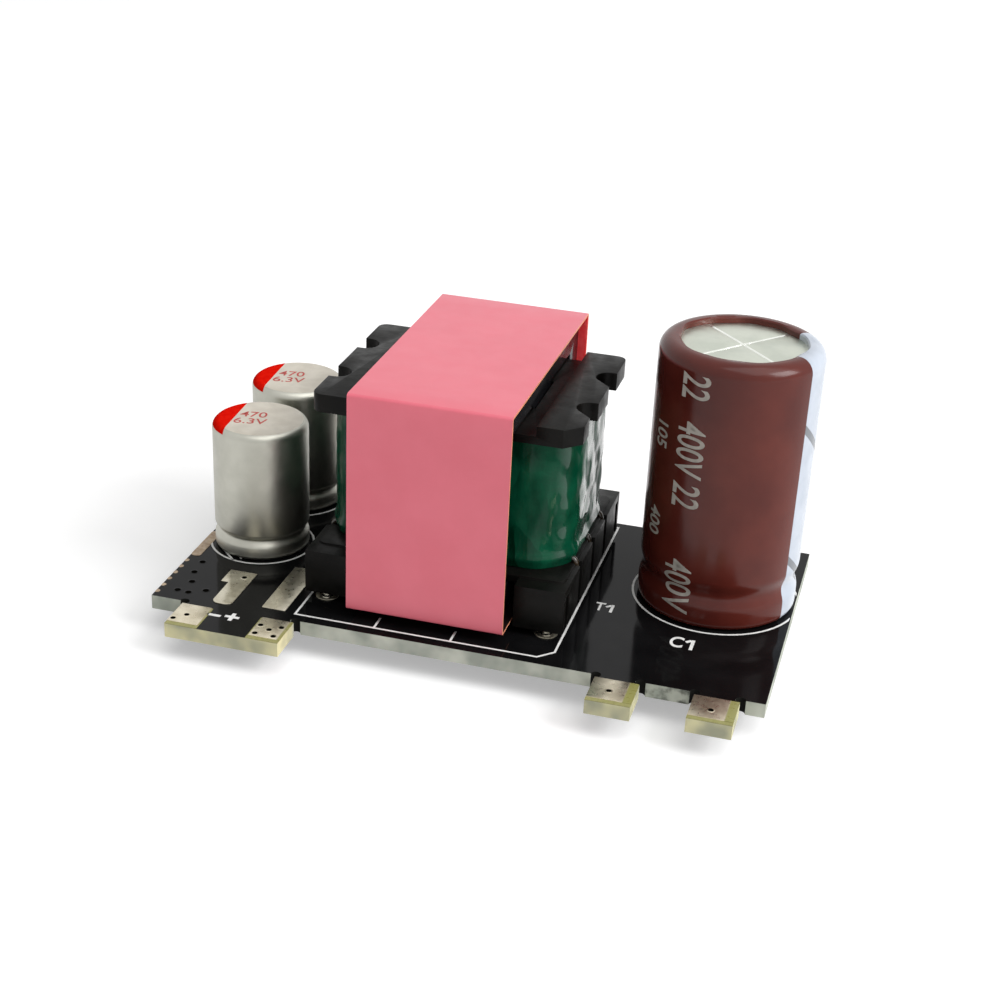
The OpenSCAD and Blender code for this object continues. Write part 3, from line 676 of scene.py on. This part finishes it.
def edge_marks():
    """Bare tan strip and small half rounds along the board's left end."""
    pitch, count, corner = 1.15 * MM, 6, 0.3 * MM
    strip = block("edge_strip", on_board(0, 7.6, INK_LIFT), on_board(0.85, 12.4, 2 * INK_THICK))
    with Bench(strip, "EDGE") as bench:
        bench.pick(lambda edge: runs_along(edge, 2))
        bpy.ops.mesh.bevel(offset=corner, segments=4)
    seat(strip, EDGE_COPPER)
    mark = lathe("mark", on_board(0.08, 0.9), [(0, 0.03), (0.2, 0.03), (0.26, 0.0), (0, 0.0)], 16)
    with Bench(mark) as bench:
        bench.pick_all()
        bench.cut(on_board(0.005, 0), (1, 0, 0), clear_inner=True, use_fill=True)
    rows = [Vector((0, pitch * i, 0)) for i in range(count)]
    seat(spread_out("edge_marks", mark, rows), EDGE_COPPER)


def via_model(name, profile, bore, finish):
    """One hole at the board's corner, with its bore a flat disc in painted shade and its ring in a
    finish.
    """
    corner = on_board(0, 0)
    model = lathe(name, corner, profile, 24)
    paint(model, finish, HOLE_SHADE)
    for face in model.data.polygons:
        face.material_index = 1 if (face.center - corner).xy.length < bore * MM else 0
    return model


def vias():
    """Small plated holes, on the lands and beside them."""
    on_lands = [
        (10.15, -1.73), (11.05, -2.22), (10.2, -3.06), (11.75, -3.08), (11.85, -1.6),
        (4.05, -2.15), (3.25, -2.99), (38.4, -2.18), (46.2, -2.31), (5.9, 5.2),
    ]
    on_mask = [(1.58, 4.88), (1.59, 1.55), (2.57, 1.46), (3.78, 2.21), (2.1, 3.25), (1.5, 6.75)]
    ring = [(0, 0.005), (0.2, 0.005), (0.22, 0.02), (0.27, 0.02), (0.31, 0)]
    tent = [(0, 0.006), (0.26, 0.006), (0.3, 0.016), (0.36, 0)]
    plated_bore, tented_bore = 0.23, 0.26
    plated = via_model("via", ring, plated_bore, TIN)
    tented = via_model("tented", tent, tented_bore, MASK)
    on_land = [Vector((x, y, LAND_TOP)) * MM for x, y in on_lands]
    beside = [Vector((x, y, 0)) * MM for x, y in on_mask]
    seat(spread_out("vias", plated, on_land), None)
    seat(spread_out("masked_vias", tented, beside), None)


def ring_mark(place, radius, width):
    """A printed ring of an outer radius in mm."""
    bpy.ops.object.select_all(action="DESELECT")
    bpy.ops.mesh.primitive_circle_add(vertices=128, radius=radius * MM, fill_type="NGON", location=place)
    ring = settle(bpy.context.active_object, "ring")
    with Bench(ring) as bench:
        bench.pick_all()
        bpy.ops.mesh.inset(thickness=width * MM)
        bpy.ops.mesh.delete(type="FACE")
    return ring


def line_mark(start, stop, width):
    """A straight printed line, as a thin rectangle turned to its way."""
    way = stop - start
    bpy.ops.object.select_all(action="DESELECT")
    bpy.ops.mesh.primitive_plane_add(size=1, location=(start + stop) / 2)
    line = bpy.context.active_object
    line.scale = (way.length, width * MM, 1)
    line.rotation_euler = (0, 0, math.atan2(way.y, way.x))
    return settle(line, "line")


def figure_one(x, y, height, stroke):
    """A printed 1: its stem, and a flag that ends at the stem's side."""
    flag_reach, flag_low, flag_high = 0.4, 0.5, 0.14
    foot, head = y - height / 2, y + height / 2
    side = x - stroke / 2
    stem = line_mark(on_board(x, foot, INK_LIFT), on_board(x, head, INK_LIFT), stroke)
    flag_tip = on_board(side - flag_reach, head - flag_low, INK_LIFT)
    flag_root = on_board(side, head - flag_high, INK_LIFT)
    flag = line_mark(flag_tip, flag_root, stroke)
    return [stem, flag]


def transformer_outline(width):
    """Printed frame round the transformer with its front right corner cut."""
    cut = 1.2 * MM
    near, far = on_board(11.9, 0.9, INK_LIFT), on_board(33.2, 25.6, INK_LIFT)
    centre = (near + far) / 2
    frame_mark = sheet_of("outline", near, far)
    with Bench(frame_mark, "VERT") as bench:
        bench.pick(lambda point: point.co.y < centre.y and point.co.x > centre.x)
        bpy.ops.mesh.bevel(offset=cut, affect="VERTICES")
    with Bench(frame_mark) as bench:
        bench.pick_all()
        bpy.ops.mesh.inset(thickness=width * MM)
        bpy.ops.mesh.delete(type="FACE")
    return frame_mark


def legend():
    """All the white print on the board's top."""
    width, heavy, end_gap = 0.18, 0.32, 0.1 * MM
    rings = [("bulk_sleeve", 6.95), ("output_can_front", 4.45), ("output_can_rear", 4.45)]
    strokes = [
        ((18.6, 0.9), (18.6, 2.7)), ((24.9, 0.9), (24.9, 2.7)),
        ((1.05, 10.8), (3.76, 7.9)), ((1.6, 11.4), (4.3, 8.4)),
    ]
    signs = [
        ((5.07, -1.38), (6.59, -1.38)), ((7.5, -1.8), (7.5, -0.6)),
        ((6.9, -1.2), (7.34, -1.2)), ((7.66, -1.2), (8.1, -1.2)),
    ]
    marks = [transformer_outline(width)]
    for node, radius in rings:
        centre = middle(node)
        level = Vector((centre.x, centre.y, BOARD_TOP + INK_LIFT * MM))
        marks.append(ring_mark(level, radius, width))
    for lines, stroke in ((strokes, width), (signs, heavy)):
        for start, stop in lines:
            marks.append(line_mark(on_board(*start, INK_LIFT), on_board(*stop, INK_LIFT), stroke))
    marks.append(lettering("word", "T", 1.3, on_board(34.8, 10.6, INK_LIFT), narrow=0.7, weight=0.03))
    marks += figure_one(35.8, 10.6, 1.3, 0.24)
    marks.append(lettering("word", "C", 1.6, on_board(41.85, 6.95, INK_LIFT), narrow=0.72, weight=0.04))
    marks += figure_one(43.1, 6.95, 1.6, 0.28)
    print_layer = joined("board_legend", marks)
    with Bench(print_layer) as bench:
        for end, outwards in ((board_low.x + end_gap, -1), (board_high.x - end_gap, 1)):
            bench.pick_all()
            bench.cut((end, 0, 0), (outwards, 0, 0), clear_outer=True)
    seat(thicken(print_layer, INK_THICK), LEGEND)


def solder_fillets():
    """Shiny hollow-sided joints on the underside, one round each lead."""
    reach, height, lead, brim = 0.95, 1.1, 0.35, 0.06
    half_pin, pins_a_side = 0.35 * MM, 5
    shares = [i / 10 for i in range(11)]
    side = [(lead + brim + (reach - lead) * (1 - s) ** 2.2, -height * s) for s in shares]
    tip = [(lead, -height - 0.05), (lead * 0.6, -height - 0.2), (0, -height - 0.24)]
    profile = [(0, 0), (reach + brim, 0), *side, *tip]
    model = lathe("fillet", Vector((0, 0, BOARD_UNDER)), profile, 32)
    pins_low, pins_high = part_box("bobbin_pins")
    columns = (pins_low.x + half_pin, pins_high.x - half_pin)
    first, last = pins_low.y + half_pin, pins_high.y - half_pin
    rows = [first + (last - first) * i / (pins_a_side - 1) for i in range(pins_a_side)]
    spots = [Vector((x, y, 0)) for x in columns for y in rows]
    for node, pitch in (("bulk_sleeve", 5.0), ("output_can_front", 3.5), ("output_can_rear", 3.5)):
        centre = middle(node)
        spots += [Vector((centre.x, centre.y + way * pitch / 2 * MM, 0)) for way in (-1, 1)]
    seat(spread_out("solder_fillets", model, spots), SOLDER, ["solder_joints"])


def board():
    """The board with its lands, trim, print and joints."""
    paint(nodes["circuit_board"], MASK)
    seat(eased("tinned_pads", "tinned_lands", 0.025), TIN, ["tinned_lands"])
    mask_openings()
    edge_marks()
    vias()
    legend()
    solder_fillets()


# Transformer
def tape_belt():
    """Tape wound round the core, with the glue side inwards and painted shade, a near-black colour, on
    the inside of its bottom wall.
    """
    low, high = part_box("core_tape")
    thickness, corner, long_edge = 0.18 * MM, 0.26 * MM, 5 * MM
    outside, glue_side, cut_rim, shaded_bottom = range(4)
    belt = block("tape_belt", low, high)
    with Bench(belt) as bench:
        bench.pick(lambda face: abs(face.normal.x) > 0.9)
        bpy.ops.mesh.delete(type="FACE")
    with Bench(belt, "EDGE") as bench:
        bench.pick(lambda edge: runs_along(edge, 0))
        bpy.ops.mesh.bevel(offset=corner, segments=4)
        bench.pick(lambda edge: not runs_along(edge, 0) and edge.calc_length() > long_edge)
        bpy.ops.mesh.subdivide(number_cuts=12)
        bench.pick(lambda edge: runs_along(edge, 0))
        bpy.ops.mesh.subdivide(number_cuts=8)
    modify(belt, "SOLIDIFY", thickness=thickness, offset=-1)
    paint(belt, TAPE, TAPE_GLUE, TAPE_RIM, INNER_SHADE)
    centre = (low + high) / 2
    for face in belt.data.polygons:
        outward = face.normal.dot((face.center - centre) * Vector((0, 1, 1)))
        if abs(face.normal.x) > 0.7:
            face.material_index = cut_rim
        elif outward > 0:
            face.material_index = outside
        # Painted shade on the inside of the bottom wall
        elif face.normal.z > 0.7 and face.center.z < centre.z:
            face.material_index = shaded_bottom
        else:
            face.material_index = glue_side
    seat(belt, None, ["core_tape"])


def tape_end():
    """The last turn's cut end, stuck down on the rear face."""
    low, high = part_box("core_tape")
    lap, foot, gap, corner, thickness = 9.0 * MM, 0.6 * MM, 0.1 * MM, 0.25 * MM, 0.06 * MM
    start = Vector((low.x + gap, high.y - thickness / 2, low.z + foot))
    stop = Vector((high.x - gap, high.y + thickness, low.z + lap))
    flap = block("tape_end", start, stop)
    with Bench(flap, "EDGE") as bench:
        bench.pick(lambda edge: runs_along(edge, 1))
        bpy.ops.mesh.bevel(offset=corner, segments=3)
    seat(flap, TAPE)


def varnished_wrap():
    """Green tape over the winding, bulged a little, with a bead of varnish at its foot."""
    low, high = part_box("winding_wrap")
    corner, wall, inset, long_edge = 3.8 * MM, 0.2 * MM, 0.08 * MM, 2 * MM
    bead, bead_level, bead_spread = 0.25 * MM, 0.02, 0.035
    ripple, ripple_size = 0.1 * MM, 1.5 * MM
    skirt = Vector((0, 0, 0.55 * MM))
    wrap = block("varnished_wrap", low - skirt, high)
    with Bench(wrap) as bench:
        bench.pick(lambda face: abs(face.normal.z) > 0.9)
        bpy.ops.mesh.delete(type="FACE")
    with Bench(wrap, "EDGE") as bench:
        bench.pick(lambda edge: runs_along(edge, 2))
        bpy.ops.mesh.bevel(offset=corner, segments=14)
        bench.pick(lambda edge: runs_along(edge, 2))
        bpy.ops.mesh.subdivide(number_cuts=36)
        bench.pick(lambda edge: not runs_along(edge, 2) and edge.calc_length() > long_edge)
        bpy.ops.mesh.subdivide(number_cuts=18)
    centre = (low + high) / 2
    for point in wrap.data.vertices:
        height = (point.co.z - low.z) / (high.z - low.z)
        bulge = inset * math.sin(math.pi * min(max(height, 0), 1))
        foot = bead * math.exp(-((height - bead_level) / bead_spread) ** 2)
        out = ((point.co - centre) * Vector((1, 1, 0))).normalized()
        crease = ripple * noise.noise(point.co / ripple_size)
        point.co += out * (bulge + foot + crease - inset)
    modify(wrap, "SOLIDIFY", thickness=wall, offset=-1)
    seat(wrap, VARNISH, ["winding_wrap"], smooth=60)


def transformer():
    tape_belt()
    tape_end()
    varnished_wrap()
    seat(eased("former_moulding", "bobbin", 0.09, 3), PHENOLIC, ["bobbin"])
    seat(eased("core_upper_half", "core_upper", 0.12), FERRITE, ["core_upper"])
    seat(eased("core_lower_half", "core_lower", 0.12), FERRITE, ["core_lower"])
    paint(nodes["bobbin_pins"], WIRE)
    paint(nodes["lead_outs"], LEAD)
    paint(nodes["primary_winding"], ENAMEL)
    paint(nodes["secondary_winding"], ENAMEL)
    paint(nodes["layer_insulation"], FILM)


# Capacitors, with the large one's sizes in mm from the board
BULK_AXIS = Vector((*middle("bulk_sleeve").xy, BOARD_TOP))
BULK_HEIGHT = (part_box("bulk_sleeve")[1].z - BOARD_TOP) / MM
SLEEVE_RADIUS, SLEEVE_SHOULDER = 6.5, 1.15
CRIMP_LEVEL, CRIMP_HALF, CRIMP_DEPTH = 3.0, 1.3, 0.3
FOOT_OPENING = 5.35


def shrunk_sleeve():
    """Shrink sleeve drawn over the can's shoulder, with a wavy shrunk lip."""
    radius, height, wall = SLEEVE_RADIUS, BULK_HEIGHT, 0.15
    lip, curl, shoulder, foot = 4.95, 0.5, SLEEVE_SHOULDER, 0.65
    wavy_width, wavy_depth = 0.35, 1
    axis = BULK_AXIS
    edge = radius - shoulder
    outside = [
        (FOOT_OPENING, 0.0), *arc((radius - foot, foot), foot, -90, 0),
        *groove(radius, CRIMP_LEVEL, CRIMP_HALF, CRIMP_DEPTH), (radius, 8), (radius, 14), (radius, 19),
        *arc((edge, height - shoulder), shoulder, 0, 90, 10), (lip + 0.12, height),
        (lip, height - 0.1), (lip, height - curl),
    ]
    inside = [
        (lip + 0.08, height - curl), (lip + wall, height - wall - 0.1),
        *arc((edge, height - shoulder), shoulder - wall, 90, 0, 10),
        *reversed(groove(radius - wall, CRIMP_LEVEL, CRIMP_HALF, CRIMP_DEPTH)), (radius - wall, foot),
        (radius - foot, wall), (FOOT_OPENING, wall), (FOOT_OPENING, 0.0),
    ]
    sleeve = lathe("shrunk_sleeve", axis, outside + inside, 144)
    for point in sleeve.data.vertices:
        away = point.co - axis
        near_lip = max(0.0, 1 - (away.xy.length / MM - lip) / wavy_width)
        if near_lip > 0 and away.z > (height - wavy_depth) * MM:
            turn = math.atan2(away.y, away.x)
            wave = 0.09 * math.sin(5 * turn + 0.6) + 0.05 * math.sin(11 * turn + 2.1)
            point.co.xy += away.xy.normalized() * wave * near_lip * MM
    seat(sleeve, brown_sleeve(axis), ["bulk_sleeve"])


def bulk_can_end():
    """Aluminium can with a dished end, a cross scored in it and a low swell in each quarter. The score
    grooves are real; their lighter colour is a painted highlight.
    """
    axis = BULK_AXIS
    radius, shoulder, bung_seat = 6.34, 1.0, 1.35
    brim = BULK_HEIGHT - 0.2
    top = brim - 0.32
    score_reach, score_half, score_depth = 4.75, 0.13, 0.06
    swell, swell_spread = 0.2, 0.9
    score_turns = (math.radians(43), math.radians(140))
    on_end, on_line = 0.03, 0.01
    ring_radii = (5.1, 4.8, 4.5, 4.2, 3.8, 3.4, 3.0, 2.6, 2.2, 1.8, 1.4, 1.0, 0.6, 0.3, 0)
    profile = [
        (0, bung_seat), (FOOT_OPENING, bung_seat), (FOOT_OPENING, 0.2),
        *arc((5.85, 0.65), 0.5, -90, 0), (radius, 0.8),
        *groove(radius, CRIMP_LEVEL, CRIMP_HALF, CRIMP_DEPTH), (radius, brim - shoulder),
        *arc((radius - shoulder, brim - shoulder), shoulder, 0, 90, 8),
        *arc((5.3, brim - 0.06), 0.06, 90, 180, 2), (5.2, top + 0.06),
        *[(ring, top) for ring in ring_radii],
    ]
    can = lathe("bulk_can_end", axis, profile, 96)
    ways = [Vector((math.cos(turn), math.sin(turn), 0)) for turn in score_turns]
    with Bench(can) as bench:
        for way in ways:
            for offset in (-score_half, 0, score_half):
                bench.pick(lambda face: face.normal.z > 0.9)
                bench.cut(axis + way * offset * MM, way)
    for point in can.data.vertices:
        away = (point.co - axis) / MM
        if abs(away.z - top) > on_end:
            continue
        aside = min(abs(away.dot(way)) for way in ways)
        rim = max(0.0, 1 - (away.xy.length / score_reach) ** 4)
        point.co.z += swell * rim * (1 - math.exp(-aside / swell_spread)) * MM
        if away.xy.length < score_reach and aside < on_line:
            point.co.z -= score_depth * MM
    # The score lines' faces take the painted highlight
    paint(can, CAN_END, SCORE_HIGHLIGHT)
    for face in can.data.polygons:
        away = (face.center - axis) / MM
        aside = min(abs(away.dot(way)) for way in ways)
        scored = abs(away.z - top) < 2 * swell and aside < score_half and away.xy.length < score_reach
        face.material_index = 1 if scored else 0
    seat(can, None, ["bulk_can"], smooth=50)


def sleeve_wall(run):
    """How far out and up the sleeve's wall is, at a run in mm up along it."""
    straight = BULK_HEIGHT - SLEEVE_SHOULDER
    if run > straight:
        bend = (run - straight) / SLEEVE_SHOULDER
        out = SLEEVE_RADIUS - SLEEVE_SHOULDER * (1 - math.cos(bend))
        return out, straight + SLEEVE_SHOULDER * math.sin(bend)
    share = min(abs(run - CRIMP_LEVEL) / CRIMP_HALF, 1)
    return SLEEVE_RADIUS - CRIMP_DEPTH * math.cos(share * math.pi / 2) ** 2, run


def wrapped_words(words, height, turn, level, narrow, cuts_along=0):
    """Plain figures that read downwards on the sleeve, centred on a level."""
    pitch_along, cuts_across, thickness = 0.4, 4, 0.01 * MM
    piece = lettering("rating", words, height, Vector((0, 0, 0)), narrow=narrow, weight=0.03)
    slices = [((0, 1, 0), i * height / 2 / cuts_across) for i in range(-cuts_across, cuts_across + 1)]
    if cuts_along:
        slices += [((1, 0, 0), i * pitch_along) for i in range(-cuts_along, cuts_along + 1)]
    with Bench(piece) as bench:
        for way, offset in slices:
            bench.pick_all()
            bench.cut(Vector(way) * offset * MM, way)
    for point in piece.data.vertices:
        out, rise = sleeve_wall(level - point.co.x / MM)
        angle = math.radians(turn) + point.co.y / MM / SLEEVE_RADIUS
        away = Vector((math.cos(angle), math.sin(angle), 0)) * (out + INK_LIFT)
        point.co = BULK_AXIS + (away + UP * rise) * MM
    return modify(piece, "SOLIDIFY", thickness=thickness, offset=0)


def bulk_rating():
    """Plain rating figures down the sleeve, in a row that repeats."""
    large, small = -114, -141
    words = [
        wrapped_words("22", 2.4, large, 20.3, 0.62, 3),
        wrapped_words("400V 22", 2.4, large, 13.8, 0.62),
        wrapped_words("400V", 2.4, large, 3.4, 0.62, 6),
        wrapped_words("105", 1.4, small, 15.5, 0.8),
        wrapped_words("400", 1.4, small, 8.0, 0.8),
    ]
    seat(joined("bulk_rating", words), SLEEVE_INK)


def output_can(name, node):
    """Small drawn can with a crimp groove, a cream top and a red polarity segment."""
    low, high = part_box(node)
    axis = Vector(((low.x + high.x) / 2, (low.y + high.y) / 2, BOARD_TOP))
    radius, height = 4.0, (high.z - BOARD_TOP) / MM
    edge, rim, near_top = 0.7, 0.5, 9 * MM
    opening, bung_seat = 3.0, 1.2
    crimp_level, crimp_half, crimp_depth = 1.75, 0.6, 0.34
    profile = [
        (0, bung_seat), (opening, bung_seat), (opening, 0.0), *arc((radius - rim, rim), rim, -90, 0),
        *groove(radius, crimp_level, crimp_half, crimp_depth), (radius, 5), (radius, height - edge),
        *arc((radius - edge, height - edge), edge, 0, 90, 8), (2.2, height), (1.1, height), (0, height),
    ]
    can = lathe(name, axis, profile, 96)
    chord, chord_turn = 2.1 * MM, math.radians(3)
    leftwards = Vector((-math.cos(chord_turn), -math.sin(chord_turn), 0))
    with Bench(can) as bench:
        top_level = BOARD_TOP + near_top
        bench.pick(lambda face: face.normal.z > 0.1 and face.calc_center_median().z > top_level)
        bench.cut(axis + leftwards * chord, leftwards)
    paint(can, CAN_WALL, LACQUER, RED_INK)
    for face in can.data.polygons:
        away = face.center - axis
        high_up = away.z > near_top
        segment = high_up and face.normal.z > 0.3 and away.dot(leftwards) > chord
        lacquered = high_up and face.normal.z > 0.9
        face.material_index = 2 if segment else 1 if lacquered else 0
    seat(can, None, [node])
    figure_height, figure_turn, lift, thickness = 1.05, 12, 0.004, 0.008
    top = axis + Vector((0, 0, (height + lift) * MM))
    lines = [("470", Vector((-0.75, 0.42, 0)) * MM), ("6.3V", Vector((-0.55, -0.98, 0)) * MM)]
    figures = [
        lettering("figures", words, figure_height, top + offset, figure_turn, weight=0.01)
        for words, offset in lines
    ]
    seat(thicken(joined(f"{name}_rating", figures), thickness), RATING_INK)


def capacitors():
    shrunk_sleeve()
    bulk_can_end()
    bulk_rating()
    output_can("front_can", "output_can_front")
    output_can("rear_can", "output_can_rear")
    for node in ("bulk_seal", "output_seals"):
        paint(nodes[node], RUBBER)
    for node in ("bulk_leads", "output_leads"):
        paint(nodes[node], WIRE)


# Underside
def underside_parts():
    """Surface-mounted parts, with eased edges."""
    packages = ("bridge_rectifier", "switch_controller", "sync_rectifier", "diodes")
    for node in packages:
        seat(eased(f"{node}_body", node, 0.05), EPOXY, [node])
    seat(eased("resistor_bodies", "chip_resistors", 0.04), EPOXY, ["chip_resistors"])
    seat(eased("fuse_body", "input_fuse", 0.06), FUSE_BODY, ["input_fuse"])
    for node in ("barrier_capacitor", "chip_capacitors"):
        seat(eased(f"{node}_body", node, 0.05), CERAMIC, [node])
    for node in ("package_leads", "chip_terminals"):
        seat(eased(f"{node}_metal", node, 0.03), WIRE, [node])


# Studio
def studio_floor():
    """Pale floor that takes shadows and glows to the camera and to gloss, more so further off."""
    span, near, far = 3, 0.2, 1.1
    near_glow, far_glow = 0.38, 0.74
    bpy.ops.object.select_all(action="DESELECT")
    bpy.ops.mesh.primitive_plane_add(size=span, location=(0, 0, cad_box[0].z))
    floor = bpy.context.active_object
    floor.name = "studio_floor"
    white = (1, 1, 1, 1)
    finish = Finish(
        "pale_floor", {"Roughness": 0.9, "Specular IOR Level": 0.1, "Emission Color": white}
    )
    finish.colour(finish.mottle(60, rgb(222, 222, 222), rgb(226, 226, 226)))
    path = finish.tree.nodes.new("ShaderNodeLightPath").outputs
    seen = finish.maths("MAXIMUM", path["Is Camera Ray"], path["Is Glossy Ray"])
    seen = finish.maths("MAXIMUM", seen, path["Is Transmission Ray"])
    away = finish.add("ShaderNodeVectorMath", {0: finish.place}, operation="LENGTH").outputs["Value"]
    glow = finish.spread(away, near_glow, far_glow, near, far)
    finish.feed(finish.shader.inputs["Emission Strength"], finish.maths("MULTIPLY", seen, glow))
    paint(floor, finish)


def softbox(name, place, size, power):
    """A square lamp that faces the object."""
    lamp = bpy.data.lights.new(name, "AREA")
    lamp.shape = "SQUARE"
    lamp.size = size
    lamp.energy = power
    holder = bpy.data.objects.new(name, lamp)
    holder.location = place
    holder.rotation_euler = (-place).to_track_quat("-Z", "Y").to_euler()
    bpy.context.scene.collection.objects.link(holder)


def studio_light():
    """White surroundings as the camera and gloss see them, softer as light, and two wide lamps."""
    fill_left, fill_right = 0.02, 0.8
    scene = bpy.context.scene
    scene.world = bpy.data.worlds.new("studio")
    scene.world.use_nodes = True
    tree = scene.world.node_tree
    background = tree.nodes["Background"]
    background.inputs["Color"].default_value = (1, 1, 1, 1)
    path = tree.nodes.new("ShaderNodeLightPath").outputs
    way = tree.nodes.new("ShaderNodeSeparateXYZ")
    tree.links.new(tree.nodes.new("ShaderNodeTexCoord").outputs["Generated"], way.inputs["Vector"])
    fill = tree.nodes.new("ShaderNodeMapRange")
    tree.links.new(way.outputs["X"], fill.inputs["Value"])
    ends = {"From Min": -1, "From Max": 1, "To Min": fill_left, "To Max": fill_right}
    for socket, value in ends.items():
        fill.inputs[socket].default_value = value
    level = fill.outputs["Result"]
    for ray in ("Is Camera Ray", "Is Glossy Ray", "Is Transmission Ray"):
        either = tree.nodes.new("ShaderNodeMath")
        either.operation = "MAXIMUM"
        tree.links.new(level, either.inputs[0])
        tree.links.new(path[ray], either.inputs[1])
        level = either.outputs[0]
    tree.links.new(level, background.inputs["Strength"])
    softbox("overhead_softbox", Vector((0.22, -0.12, 0.6)), 0.6, 1.95)
    softbox("right_softbox", Vector((0.6, -0.12, 0.44)), 0.35, 3.5)


def studio_camera():
    """The photo's camera, as it was fitted: its turn, tilt and roll are in degrees."""
    turn, tilt, roll = (math.radians(a) for a in (14.2, 28.47, 2.85))
    place = Vector((34.08, -129.92, 74.58)) * MM
    back = Vector((math.sin(turn) * math.cos(tilt), -math.cos(turn) * math.cos(tilt), math.sin(tilt)))
    right = UP.cross(back).normalized()
    up = back.cross(right)
    rolled_right = right * math.cos(roll) + up * math.sin(roll)
    rolled_up = up * math.cos(roll) - right * math.sin(roll)
    lens = bpy.data.cameras.new("photo_camera")
    lens.lens = 65.85
    lens.sensor_width = 36
    lens.shift_y = 0.1
    lens.clip_start = 0.005
    camera = bpy.data.objects.new("photo_camera", lens)
    axes = Matrix((rolled_right, rolled_up, back)).transposed().to_4x4()
    camera.matrix_world = Matrix.Translation(place) @ axes
    bpy.context.scene.collection.objects.link(camera)
    bpy.context.scene.camera = camera


board()
transformer()
capacitors()
underside_parts()
studio_floor()
studio_light()
studio_camera()
bpy.context.scene.view_settings.view_transform = "Standard"
